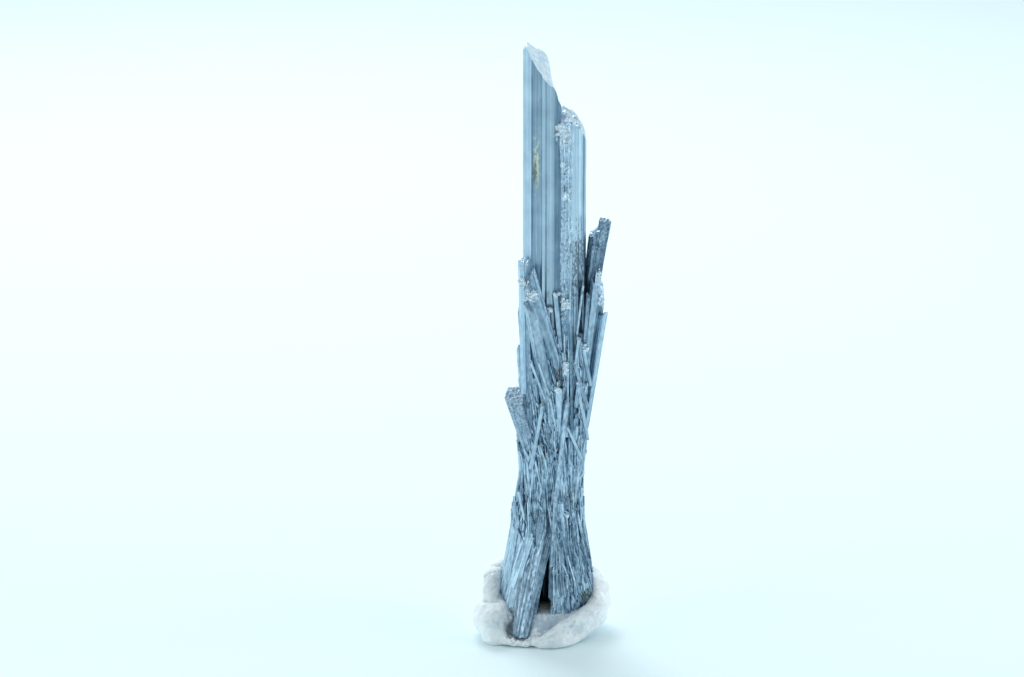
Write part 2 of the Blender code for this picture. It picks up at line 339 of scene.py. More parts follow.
@dataclass(frozen=True)
class StibniteFinish:
    """Bluish lead-grey metal lustre, striated along each crystal, less metallic where it is broken and
    painted pale there, as highlight.

    The scales of the noises are per metre. A play is how far a noise moves the shade, which runs from
    dark, 0, to light, 1, and below 0 to the near-black deep colour: painted shade in the gaps between
    crystals. A relief is how far a noise raises the surface, in millimetres, and how strongly.
    """

    # Near-black for tones below 0: painted shade for the gaps between crystals.
    deep: Colour = (0.012, 0.022, 0.036)
    dark: Colour = (0.145, 0.245, 0.345)
    light: Colour = (0.550, 0.720, 0.850)
    # Pale colours of broken places: painted highlight, for the light that their small facets catch.
    break_highlight_dim: Colour = (0.58, 0.76, 0.89)
    break_highlight_bright: Colour = (0.90, 0.97, 1.0)
    grit_dark: Colour = (0.05, 0.12, 0.21)
    # Pale specks on granular breaks: painted glints.
    grit_glint: Colour = (0.66, 0.84, 0.98)
    metallic: float = 0.9
    broken_metallic: float = 0.3
    roughness: tuple[float, float] = (0.24, 0.38)
    broken_roughness: float = 0.1
    streak_map: Row = (5.0, 0.05, 1.0)
    hairline_map: Row = (16.0, 0.22, 1.0)
    streak_play: float = 0.16
    cloud_scale: float = 450.0
    cloud_play: float = 0.12
    ragged_scale: float = 4600.0
    wear_scale: float = 2900.0
    wear_play: float = 0.42
    wear_range: tuple[float, float] = (0.32, 0.68)
    soft_scale: float = 1500.0
    soft_range: tuple[float, float] = (0.35, 0.65)
    grain_scale: float = 4200.0
    grain_range: tuple[float, float] = (0.36, 0.62)
    full_gap_shade_tone: float = -0.7
    ragged_map: Row = (1.0, 1.0, 0.45)
    wear_map: Row = (1.0, 1.0, 0.5)
    streak_relief: tuple[float, float] = (0.10, 0.5)
    hairline_relief: tuple[float, float] = (0.02, 0.5)
    wear_relief: tuple[float, float] = (0.08, 0.6)
    crumb_relief: tuple[float, float] = (0.15, 0.9)
    stains_and_painted_light: tuple[StainOrPaintedLight, ...] = (
        StainOrPaintedLight((-0.9, -1.6, 61.2), (0.42, 1.4, 3.4), (0.70, 0.72, 0.52), 0.85),
        StainOrPaintedLight((-1.1, -1.6, 60.0), (0.3, 1.4, 1.6), (0.10, 0.13, 0.12), 0.8),
        StainOrPaintedLight((0.5, -2.2, 47.8), (0.4, 0.9, 0.45), (0.42, 0.43, 0.43), 0.6),
        StainOrPaintedLight((0.55, -2.4, 44.9), (0.25, 0.9, 0.6), (0.24, 0.22, 0.18), 0.6),
        StainOrPaintedLight((2.0, -2.9, 34.9), (0.22, 0.8, 0.9), (0.16, 0.07, 0.05), 0.95),
        StainOrPaintedLight((3.6, -3.2, 18.7), (0.4, 0.8, 1.2), (0.17, 0.18, 0.13), 0.8),
        StainOrPaintedLight((-0.1, -3.2, 23.6), (0.25, 0.7, 1.0), (0.14, 0.15, 0.13), 0.6),
        StainOrPaintedLight((5.4, -2.4, 5.4), (1.0, 1.6, 1.0), (0.11, 0.13, 0.10), 0.9),
        StainOrPaintedLight((4.6, -1.9, 48.4), (1.3, 1.3, 4.6), (0.085, 0.125, 0.165), 0.8),
        # Painted shade: near-black in the cavity between the front leg and the laths on its right.
        StainOrPaintedLight((0.15, -2.4, 4.6), (0.7, 2.6, 3.4), CAVITY_SHADE, 1.0),
        # Painted highlights: pale patches where the crystals are broken, for the light that their
        # fractures catch.
        StainOrPaintedLight((-2.4, -3.0, 46.4), (0.55, 1.2, 0.75), BREAK_HIGHLIGHT, 1.0),
        StainOrPaintedLight((-1.5, -3.3, 44.8), (0.85, 0.9, 0.75), BREAK_HIGHLIGHT, 0.85),
        StainOrPaintedLight((0.7, -2.6, 42.9), (0.3, 0.6, 0.3), BREAK_HIGHLIGHT, 1.0),
        StainOrPaintedLight((1.5, -2.8, 44.9), (0.35, 0.5, 0.3), BREAK_HIGHLIGHT, 0.9),
        StainOrPaintedLight((2.75, -2.6, 43.8), (0.6, 0.9, 0.75), BREAK_HIGHLIGHT, 1.0),
        StainOrPaintedLight((2.7, -2.6, 57.3), (0.5, 0.9, 0.6), BREAK_HIGHLIGHT, 1.0),
        StainOrPaintedLight((2.4, -2.6, 61.2), (0.4, 0.9, 0.5), BREAK_HIGHLIGHT, 0.7),
        StainOrPaintedLight((2.3, -2.6, 65.2), (1.0, 0.9, 1.5), BREAK_HIGHLIGHT, 0.8),
        StainOrPaintedLight((2.8, -3.1, 35.5), (0.35, 0.9, 1.1), BREAK_HIGHLIGHT, 0.9),
        StainOrPaintedLight((1.9, -3.5, 32.8), (0.45, 0.6, 0.35), BREAK_HIGHLIGHT, 0.8),
        StainOrPaintedLight((6.6, -1.8, 46.6), (0.4, 1.2, 0.9), BREAK_HIGHLIGHT, 0.5),
    )

    def material(self) -> bpy.types.Material:
        """Returns the finish as a material that reads the crystals' grain, tone, fresh and grit layers."""
        bench = NodeBench("striated_stibnite")
        place, grain = bench.coordinates(), bench.grain()
        tone, fresh, grit = (bench.attribute(name) for name in ("tone", "fresh", "grit"))
        streaks = bench.noise(bench.stretched(grain, self.streak_map), 1.0, detail=4.0)
        hairlines = bench.noise(bench.stretched(grain, self.hairline_map), 1.0)
        clouds = bench.noise(place, self.cloud_scale, detail=3.0)
        ragged = bench.noise(bench.stretched(place, self.ragged_map), self.ragged_scale, detail=3.0)
        wear = bench.noise(bench.stretched(place, self.wear_map), self.wear_scale, detail=3.0)
        worn = bench.ranged(wear, *self.wear_range, -self.wear_play, self.wear_play)
        shade = bench.maths("ADD", tone, bench.swing(streaks, self.streak_play))
        shade = bench.maths("ADD", shade, bench.swing(clouds, self.cloud_play))
        shade = bench.maths("ADD", shade, bench.maths("MULTIPLY", worn, grit))
        colour = bench.blended(bench.ranged(shade, 0.0, 1.0), self.dark, self.light)
        # Tones below 0 run to the near-black deep colour: painted shade.
        colour = bench.blended(bench.ranged(shade, self.full_gap_shade_tone, 0.0), self.deep, colour)
        for tint in self.stains_and_painted_light:
            colour = tint.laid(bench, colour, ragged)
        # Broken places are painted pale, and speckled with painted glints where granular: painted
        # highlight.
        softness = bench.ranged(bench.noise(place, self.soft_scale, detail=4.0), *self.soft_range)
        soft = bench.blended(softness, self.break_highlight_dim, self.break_highlight_bright)
        grains = bench.noise(place, self.grain_scale, detail=3.0)
        coarse_glints = bench.blended(bench.ranged(grains, *self.grain_range), self.grit_dark, self.grit_glint)
        broken = bench.blended(grit, soft, coarse_glints)
        metal = bench.ranged(fresh, 0.0, 1.0, self.metallic, self.broken_metallic)
        sheen = bench.ranged(hairlines, *bench.NOISE_RANGE, *self.roughness)
        sheen = bench.maths("ADD", sheen, bench.maths("MULTIPLY", fresh, self.broken_roughness))
        relief = bench.bump(streaks, *self.streak_relief)
        relief = bench.bump(hairlines, *self.hairline_relief, relief)
        relief = bench.bump(bench.maths("MULTIPLY", wear, grit), *self.wear_relief, relief)
        crumbled = bench.maths("MULTIPLY", grains, bench.maths("MULTIPLY", fresh, grit))
        bench.dress({
            "Base Color": bench.blended(fresh, colour, broken),
            "Metallic": metal,
            "Roughness": sheen,
            "Normal": bench.bump(crumbled, *self.crumb_relief, relief),
        })
        return bench.material


@dataclass(frozen=True)
class PuttyFinish:
    """Matt white mounting putty with grey smudges, a soft skin, the marks of fingers and painted shade in
    hollows.
    """

    white: Colour = (0.93, 0.985, 1.0)
    smudge: Colour = (0.52, 0.59, 0.64)
    roughness: float = 0.62
    depth_of_light: float = 0.8
    smudge_scale: float = 260.0
    smudge_range: tuple[float, float] = (0.50, 0.72)
    speckle_scale: float = 1900.0
    speckle_range: tuple[float, float] = (0.35, 0.65)
    faintest_smudge: float = 0.3
    skin_scale: float = 700.0
    pore_scale: float = 4200.0
    skin_relief: tuple[float, float] = (0.4, 0.8)
    pore_relief: tuple[float, float] = (0.05, 0.6)
    translucence: float = 0.2
    light_spread: Colour = (1.0, 0.9, 0.8)
    # The first six darken the pocket's floor, the inside of the front roll, the dent in it and the hollow
    # left of the front leg: painted shade. The last greys the top of the upper-left lobe a little.
    stains_and_painted_light: tuple[StainOrPaintedLight, ...] = (
        StainOrPaintedLight((0.3, -5.2, 2.3), (3.4, 1.8, 2.0), (0.47, 0.57, 0.67), 0.85),
        StainOrPaintedLight((3.6, -4.6, 3.3), (1.6, 1.0, 0.8), (0.56, 0.65, 0.73), 0.6),
        StainOrPaintedLight((4.3, -7.0, 2.4), (1.0, 1.0, 0.9), (0.62, 0.70, 0.77), 0.6),
        StainOrPaintedLight((4.2, -6.6, 2.4), (1.6, 1.2, 0.8), (0.66, 0.73, 0.79), 0.5),
        StainOrPaintedLight((-4.4, -4.9, 1.9), (0.9, 1.3, 1.7), (0.38, 0.44, 0.50), 0.8),
        StainOrPaintedLight((-3.9, -6.0, 0.8), (1.1, 0.9, 0.9), (0.23, 0.29, 0.35), 0.85),
        StainOrPaintedLight((-6.2, -1.6, 6.6), (1.3, 1.2, 1.6), (0.60, 0.66, 0.70), 0.35),
    )

    def material(self) -> bpy.types.Material:
        """Returns the finish as a material."""
        bench = NodeBench("white_putty")
        place = bench.coordinates()
        smudges = bench.noise(place, self.smudge_scale, detail=4.0)
        speckle = bench.noise(place, self.speckle_scale, detail=3.0)
        spots = bench.ranged(speckle, *self.speckle_range, self.faintest_smudge, 1.0)
        dirt = bench.maths("MULTIPLY", bench.ranged(smudges, *self.smudge_range), spots)
        colour = bench.blended(dirt, self.white, self.smudge)
        for tint in self.stains_and_painted_light:
            colour = tint.laid(bench, colour, speckle)
        skin = bench.bump(bench.noise(place, self.skin_scale, detail=4.0), *self.skin_relief)
        pores = bench.noise(place, self.pore_scale, detail=3.0)
        bench.dress({
            "Base Color": colour,
            "Roughness": self.roughness,
            "Normal": bench.bump(pores, *self.pore_relief, skin),
            "Subsurface Weight": self.translucence,
            "Subsurface Radius": self.light_spread,
            "Subsurface Scale": self.depth_of_light * MM,
        })
        return bench.material


@dataclass(frozen=True)
class FloorFinish:
    """The even, very pale surface of the studio."""

    colour: Colour = (0.84, 0.95, 0.98)
    roughness: float = 0.9
    mottle_scale: float = 9.0
    mottle_share: float = 0.985
    gloss: float = 0.1

    def material(self) -> bpy.types.Material:
        """Returns the finish as a material."""
        bench = NodeBench("pale_surface")
        mottle = bench.noise(bench.coordinates(), self.mottle_scale)
        near = tuple(value * self.mottle_share for value in self.colour)
        bench.dress({
            "Base Color": bench.blended(mottle, self.colour, near),
            "Roughness": self.roughness,
            "Specular IOR Level": self.gloss,
        })
        return bench.material


# ---- Crystals ------------------------------------------


# How far a small crystal may be turned about its length, and how steeply it may be broken, in degrees.
TURN_PLAY = 25.0
BREAK_SLOPES = (5.0, 50.0)


class End(Enum):
    """How a crystal ends."""

    SNAPPED = "one sloping, uneven face"
    LEVEL = "a cut that is level with the ground"


@dataclass(frozen=True)
class Crystal:
    """A straight crystal, from the middle of its root to the middle of its broken end.

    faces is the azimuth that its broad side looks to, and break_towards the one that its sloping end looks
    to. root_share is its width at the root as a share of that at the end. tone runs from 0, dark, to 1,
    light, and is less by the fade at the root: painted shade where the root is buried among the
    other crystals. pitch is the width of a striation, step the length between rings of corners, wander how
    far those stray, and wear how mottled the sides are.
    """

    CUT = 0.62

    root: Row
    end: Row
    width: float
    depth: float
    faces: float = -90.0
    break_slope: float = 35.0
    break_towards: float = -60.0
    root_share: float = 0.8
    tone: float = 0.5
    finish: End = End.SNAPPED
    pitch: float = 0.24
    fade: float = 0.3
    step: float = 5.0
    wander: float = 0.02
    wear: float = 0.6

    def axes(self) -> tuple[Vector, Vector, Vector]:
        """Returns the directions across the crystal, out of its broad side, and along it."""
        along = (Vector(self.end) - Vector(self.root)).normalized()
        looks = compass(self.faces)
        out = (looks - along * looks.dot(along)).normalized()
        return out.cross(along), out, along

    def outline(self) -> list[Vector]:
        """Returns the corners of its cross-section, a flattened prism with cut corners."""
        half, thick = self.width / 2, self.depth / 2
        cut = self.CUT
        corners = ((1.0, 0.0), (cut, 1.0), (-cut, 1.0), (-1.0, 0.0), (-cut, -1.0), (cut, -1.0))
        return [Vector((half * across, thick * out, 0.0)) for across, out in corners]


def striate(outline: Sequence[Vector], pitch: float, depth: float,
            dice: random.Random) -> tuple[list[Vector], list[int]]:
    """Cuts an outline's sides into narrow facets.

    Args:
        outline: The corners, anticlockwise.
        pitch: The width of a facet.
        depth: How far a facet's edge may be sunk.
        dice: The source of chance.

    Returns:
        The corners of the striated outline, and the number of the side that each one's facet belongs to.
    """
    corners, sides = [], []
    for number, (start, stop) in enumerate(closed_pairs(outline)):
        side = stop - start
        count = max(1, round(side.length / pitch))
        outward = Vector((side.y, -side.x, 0.0)).normalized()
        for step in range(count):
            sunk = dice.uniform(-1.0, 0.3) * depth if step else 0.0
            corners.append(start + side * (step / count) + outward * sunk)
            sides.append(number)
    return corners, sides


class CrystalMesh:
    """A mesh in which crystals are grown, with the layers that their finish reads.

    The grain layer is a map in millimetres. tone is a facet's lightness, fresh how newly broken it is, and
    grit how granular, each from 0 to 1. The finish paints fresh facets pale, as highlight. STRIATION and
    RAGGED are the greatest depths of a striation and of the break's edge, and the same as shares of the
    crystal's width.
    """

    TONE_PLAY = 0.17
    STRIATION = (0.05, 0.09)
    RAGGED = (0.16, 0.2)
    RIM_SHARE = 0.2
    RIMMED_WIDTH = 0.7
    CRUMB_SHAPE = (0.55, 1.25)
    CRUMB_FRESH = (0.7, 1.0)
    CRUMB_TONE = 0.8
    CAP_PEAK = 1.6
    CAP_FRESH = (0.4, 1.0)
    MAP_PLACES = (400.0, 100.0)

    def __init__(self, seed: int) -> None:
        """Starts an empty mesh with its own source of chance."""
        self.mesh = bmesh.new()
        self.grain = self.mesh.loops.layers.uv.new("grain")
        self.tone = self.mesh.faces.layers.float.new("tone")
        self.fresh = self.mesh.faces.layers.float.new("fresh")
        self.grit = self.mesh.faces.layers.float.new("grit")
        self.dice = random.Random(seed)

    def loft(self, rings: Sequence[Sequence[Vector]], tones: Sequence[float], fade: float = 0.0,
             wear: float = 0.0) -> list[bmesh.types.BMVert]:
        """Grows a crystal's sides through rings of places, closed at the first.

        Args:
            rings: The places of each ring's corners, from the root up.
            tones: The lightness of the facet that starts at each corner.
            fade: How much darker the root is than the end: painted shade where it is buried.
            wear: How mottled the sides are.

        Returns:
            The last ring's vertices, in the order of the places.
        """
        ring = first_ring(self.mesh, rings[0])
        for face in bmesh.ops.contextual_create(self.mesh, geom=rim_of(self.mesh, ring))["faces"]:
            face[self.tone] = tones[0] - fade
        reach = [self.dice.uniform(0.0, self.MAP_PLACES[0])]
        for start, stop in closed_pairs(rings[0]):
            reach.append(reach[-1] + (stop - start).length)
        travelled = self.dice.uniform(0.0, self.MAP_PLACES[1])
        for level, (low, high) in enumerate(zip(rings, rings[1:])):
            step = (high[0] - low[0]).length
            above, faces = next_ring(self.mesh, ring, high)
            number = {vert: (index, travelled) for index, vert in enumerate(ring)}
            number.update({vert: (index, travelled + step) for index, vert in enumerate(above)})
            # Painted shade: the rings are darker towards the root by fade.
            sunk = fade * (1.0 - (level + 1) / (len(rings) - 1))
            for face in faces:
                self._paint(face, number, reach, tones, sunk)
                face[self.grit] = wear
            ring, travelled = above, travelled + step
        return ring

    def _paint(self, face: bmesh.types.BMFace, number: dict, reach: list[float], tones: Sequence[float],
               sunk: float) -> None:
        """Sets one side facet's grain map and tone.

        Args:
            face: The facet.
            number: The place in its ring, and the length along the crystal, of each vertex.
            reach: How far round the crystal each place in a ring is.
            tones: The lightness of the facet that starts at each place.
            sunk: How much darker than that the facet is, painted shade towards the root.
        """
        last = len(reach) - 2
        places = {number[loop.vert][0] for loop in face.loops}
        wraps = places == {0, last}
        for loop in face.loops:
            index, travelled = number[loop.vert]
            loop[self.grain].uv = (reach[last + 1 if wraps and index == 0 else index], travelled)
        face[self.tone] = tones[last if wraps else min(places)] - sunk

    def cap(self, ring: Sequence[bmesh.types.BMVert], along: Vector, rough: float, rim: float, tone: float,
            grit: float = 0.5) -> None:
        """Closes a crystal with a broken end.

        Args:
            ring: The vertices of the crystal's last ring.
            along: The crystal's direction.
            rough: How far the break rises and falls.
            rim: The width of the ring of chips inside the edge, or 0 for none.
            tone: The crystal's own lightness.
            grit: How granular the break is.
        """
        faces = bmesh.ops.contextual_create(self.mesh, geom=rim_of(self.mesh, ring))["faces"]
        chips = []
        if rim:
            inset = bmesh.ops.inset_region(self.mesh, faces=faces, thickness=rim, use_even_offset=True)
            chips = inset["faces"]
            for vert in in_order({vert for face in faces for vert in face.verts}):
                vert.co += along * self.dice.uniform(-rough, rough)
        poked = bmesh.ops.poke(self.mesh, faces=faces)
        for vert in poked["verts"]:
            vert.co += along * self.dice.uniform(-rough, self.CAP_PEAK * rough)
        # The break's faces are marked fresh, which the finish paints pale: painted highlight.
        for face in in_order([*chips, *poked["faces"]]):
            face[self.fresh] = self.dice.uniform(*self.CAP_FRESH)
            face[self.tone] = tone
            face[self.grit] = grit

    def grow(self, crystal: Crystal) -> None:
        """Grows one crystal with striated sides and an uneven end.

        Args:
            crystal: The crystal.
        """
        root, end = Vector(crystal.root), Vector(crystal.end)
        across, out, along = crystal.axes()
        fall = compass(crystal.break_towards) * math.tan(math.radians(crystal.break_slope))
        depth = min(self.STRIATION[0], self.STRIATION[1] * crystal.width)
        corners, _ = striate(crystal.outline(), crystal.pitch, depth, self.dice)
        length = (end - root).length
        levels = max(2, round(length / crystal.step))
        rings = []
        for level in range(levels):
            share = level / levels
            width = crystal.root_share + (1.0 - crystal.root_share) * share
            wander = [self.dice.uniform(-crystal.wander, crystal.wander) for _ in corners]
            rings.append([root + along * (length * share) + (across * (c.x + w) + out * (c.y + w)) * width
                          for c, w in zip(corners, wander)])
        last = []
        ragged = min(self.RAGGED[0], self.RAGGED[1] * crystal.width)
        for corner in corners:
            side = across * corner.x + out * corner.y
            reach = -side.z / along.z if crystal.finish is End.LEVEL else -side.dot(fall)
            last.append(end + side + along * (reach + self.dice.uniform(-ragged, ragged)))
        rings.append(last)
        tones = [crystal.tone + self.dice.uniform(-self.TONE_PLAY, self.TONE_PLAY) for _ in corners]
        ring = self.loft(rings, tones, crystal.fade, crystal.wear)
        rim = self.RIM_SHARE * crystal.width if crystal.width > self.RIMMED_WIDTH else 0.0
        self.cap(ring, along, ragged, rim, crystal.tone)

    def crumb(self, middle: Vector, size: float) -> None:
        """Adds one faceted crumb, painted pale as a highlight."""
        verts = bmesh.ops.create_icosphere(self.mesh, subdivisions=1, radius=size)["verts"]
        for vert in verts:
            vert.co = middle + vert.co * self.dice.uniform(*self.CRUMB_SHAPE)
        bright = self.dice.uniform(*self.CRUMB_FRESH)
        for face in {face for vert in verts for face in vert.link_faces}:
            face[self.fresh] = bright
            face[self.tone] = self.CRUMB_TONE

    def grow_all(self, crystals: Iterable[Crystal]) -> CrystalMesh:
        """Grows crystals one after another, and returns this mesh."""
        for crystal in crystals:
            self.grow(crystal)
        return self

    def finished(self, name: str, material: bpy.types.Material) -> bpy.types.Object:
        """Writes the mesh to a piece of the spray, in metres."""
        bmesh.ops.recalc_face_normals(self.mesh, faces=self.mesh.faces)
        bmesh.ops.scale(self.mesh, vec=(MM, MM, MM), verts=self.mesh.verts)
        return finished_piece(name, self.mesh, material)


def finished_piece(name: str, mesh: bmesh.types.BMesh, material: bpy.types.Material) -> bpy.types.Object:
    """Writes a bmesh to a new object in the scene, frees it, and dresses the object.

    Args:
        name: The piece's name.
        mesh: Its mesh, in metres.
        material: Its finish.

    Returns:
        The new object.
    """
    data = bpy.data.meshes.new(name)
    mesh.to_mesh(data)
    mesh.free()
    data.materials.append(material)
    piece = bpy.data.objects.new(name, data)
    bpy.context.scene.collection.objects.link(piece)
    return piece


class BrokenCrystal:
    """A large crystal whose end is cut by a granular surface of its own.

    FACET is the width of a striation. DRIFT is how much of a facet's stray from its line is kept from ring
    to ring, and how much is added, as a share of the striations' depth. Octaves are scales and heights.
    """

    FACET = 0.18
    OVERREACH = 2.5
    CUT_MARGIN = 0.7
    CUT_CELL = 0.2
    CUT_CEILING = 24.0
    FACET_PLAY = 0.06
    DRIFT = (0.8, 0.5)
    JITTER = 0.3
    GRANULAR_EDGE = ((2.2, 1.2),)
    GRANULAR_FRESH = (0.4, 1.0)
    LUMP_SPACING = 1.3
    LUMP_OCTAVES = ((1.0, 1.6), (2.6, 0.9))
    SPIKE = 0.35
    SPIKE_BASE = 0.4
    CUT_FRESH = (0.85, 0.35)
    CUT_TONES = (0.1, 0.9)

    def __init__(self, name: str, seed: int, origin: Vector, axes: tuple[Vector, Vector, Vector]) -> None:
        """Starts the crystal and its cutter, in a frame of its own.

        Args:
            name: The piece's name.
            seed: The seed of its chance.
            origin: The middle of its root.
            axes: The directions across it, out of its broad side, and along it.
        """
        self.name = name
        self.origin = origin
        self.across, self.out, self.along = axes
        self.body = CrystalMesh(seed)
        self.cutter = CrystalMesh(seed + 1)

    def placed(self, across: float, out: float, along: float) -> Vector:
        """Returns a place in the crystal's own frame as one in the piece's."""
        return self.origin + self.across * across + self.out * out + self.along * along

    def sides(self, outline: Sequence[Vector], top: float, step: float, shares: tuple[float, float],
              depth: float, tones: Sequence[float], fade: float = 0.0,
              crumble: tuple[float, float] = (0.0, 0.0), bright: float = 1.0) -> None:
        """Grows striated sides that drift a little along their length.

        Args:
            outline: The corners of the cross-section, anticlockwise.
            top: The length to grow to, past the break.
            step: The length between one ring of corners and the next.
            shares: The section's size at the root and at the top.
            depth: How deep a striation may be.
            tones: The lightness of the side that starts at each corner.
            fade: How much darker the root is than the end: painted shade where it is buried.
            crumble: The lengths from which and to which the sides turn granular, or zeros for never.
            bright: How bright the granular sides are.
        """
        dice = self.body.dice
        corners, side_numbers = striate(outline, self.FACET, depth, dice)
        facet_tones = [tones[n] + dice.uniform(-self.FACET_PLAY, self.FACET_PLAY) for n in side_numbers]
        count = max(2, round(top / step))
        drift = [Vector() for _ in corners]
        kept, added = self.DRIFT
        rings = []
        for level in range(count + 1):
            size = shares[0] + (shares[1] - shares[0]) * level / count
            rings.append([self.placed((c.x + d.x) * size, (c.y + d.y) * size, top * level / count)
                          for c, d in zip(corners, drift)])
            for number, move in enumerate(drift):
                stray = Vector((dice.uniform(-1, 1), dice.uniform(-1, 1), 0.0)) * depth * added
                drift[number] = move * kept + stray
        ring = self.body.loft(rings, facet_tones, fade)
        self.body.cap(ring, self.along, 0.0, 0.0, 0.5)
        if crumble[1]:
            for face in in_order(self.body.mesh.faces):
                middle = face.calc_center_median()
                reach = (middle - self.origin).dot(self.along) + rumple(middle, self.GRANULAR_EDGE)
                share = smooth_share(reach, *crumble)
                face[self.body.fresh] = share * dice.uniform(*self.GRANULAR_FRESH) * bright
                face[self.body.grit] = 0.5 + 0.5 * share

    def break_off(self, reach: tuple[float, float, float, float], surface: Callable[[float, float], float],
                  lumps: float, grit: float, bright: float = 1.0) -> None:
        """Shapes the cutter whose underside is the broken surface.

        Args:
            reach: The least and greatest place across, then the least and greatest out, of the break.
            surface: The break's height along the crystal at a place across and out.
            lumps: How far the surface rises and falls.
            grit: How granular it is, from 0 to 1.
            bright: How freshly broken it is, from 0 to 1.
        """
        left, right, front, back = reach
        mesh, cell, jitter = self.cutter.mesh, self.CUT_CELL, self.JITTER
        columns = max(2, round((right - left) / cell))
        rows = max(2, round((back - front) / cell))
        grid = bmesh.ops.create_grid(mesh, x_segments=columns, y_segments=rows, size=0.5)["verts"]
        dice = self.cutter.dice
        for vert in grid:
            across = left + (vert.co.x + 0.5) * (right - left) + dice.uniform(-jitter, jitter) * cell
            out = front + (vert.co.y + 0.5) * (back - front) + dice.uniform(-jitter, jitter) * cell
            seat = Vector((across * self.LUMP_SPACING, out * self.LUMP_SPACING, self.origin.x))
            height = surface(across, out) + lumps * rumple(seat, self.LUMP_OCTAVES)
            height += dice.uniform(-self.SPIKE, self.SPIKE) * lumps * (self.SPIKE_BASE + grit)
            vert.co = self.placed(across, out, height)
        roof = bmesh.ops.extrude_face_region(mesh, geom=mesh.faces[:], use_keep_orig=True)["geom"]
        for item in roof:
            if isinstance(item, bmesh.types.BMVert):
                item.co += self.along * self.CUT_CEILING
        bmesh.ops.triangulate(mesh, faces=mesh.faces)
        dullest = self.CUT_FRESH[0] - self.CUT_FRESH[1] * grit
        for face in in_order(mesh.faces):
            face[self.cutter.fresh] = dice.uniform(dullest, 1.0) * bright
            face[self.cutter.tone] = dice.uniform(*self.CUT_TONES)
            face[self.cutter.grit] = grit

    def finished(self, material: bpy.types.Material) -> bpy.types.Object:
        """Cuts the crystal with its cutter and writes it to a piece.

        Args:
            material: Its finish.

        Returns:
            The piece.
        """
        bmesh.ops.triangulate(self.body.mesh, faces=self.body.mesh.faces)
        whole = self.body.finished(self.name + "_whole", material)
        cutter = self.cutter.finished(self.name + "_cutter", material)
        cut = whole.modifiers.new("break", "BOOLEAN")
        cut.operation = "DIFFERENCE"
        cut.solver = "EXACT"
        cut.object = cutter
        mesh = bmesh.new()
        mesh.from_object(whole, bpy.context.evaluated_depsgraph_get())
        bpy.data.objects.remove(whole)
        bpy.data.objects.remove(cutter)
        return finished_piece(self.name, mesh, material)


@dataclass(frozen=True)
class Sheaf:
    """The sheaf's outer form, from the ground up: height, left, right, front and back."""

    profile: tuple[Row, ...] = (
        (3.0, -5.4, 5.9, -4.9, 4.6),
        (6.0, -5.4, 6.4, -5.0, 4.8),
        (10.0, -4.5, 6.0, -4.6, 4.3),
        (15.0, -4.0, 5.2, -4.0, 3.7),
        (17.5, -3.65, 5.1, -3.7, 3.5),
        (19.5, -2.8, 5.1, -3.4, 3.4),
        (22.0, -2.85, 5.1, -3.3, 3.3),
        (25.0, -3.3, 5.4, -3.3, 3.3),
        (31.0, -3.0, 6.2, -3.2, 3.2),
        (37.0, -2.7, 6.6, -2.9, 3.0),
        (45.0, -2.5, 5.6, -2.4, 2.6),
    )
    foot: float = 3.75

    def point(self, height: float, azimuth: float, inset: float = 0.0) -> Vector:
        """Returns a point on the outer form, or inside it by the inset."""
        left, right, front, back = between(self.profile, height)
        middle = Vector(((left + right) / 2, (front + back) / 2, height))
        reach = Vector(((right - left) / 2 - inset, (back - front) / 2 - inset, 0.0))
        return middle + reach * compass(azimuth)


@dataclass(frozen=True)
class LathTier:
    """A band of thin crystals in the sheaf, each from one height to another with a little chance in it.

    follow is the share of the root's own chance in height that the end takes over. The arc is in azimuths.
    """

    name: str
    count: int
    root_height: float
    end_height: float
    height_play: float
    root_inset: float
    end_inset: float
    azimuth_play: float
    widths: tuple[float, float]
    twist: float = 0.0
    arc: tuple[float, float] = (0.0, 360.0)
    tone: float = 0.5
    tone_play: float = 0.25
    follow: float = 0.6
    inset_play: float = 0.08
    fade: float = 0.55
    level: bool = False
    wear: float = 0.7


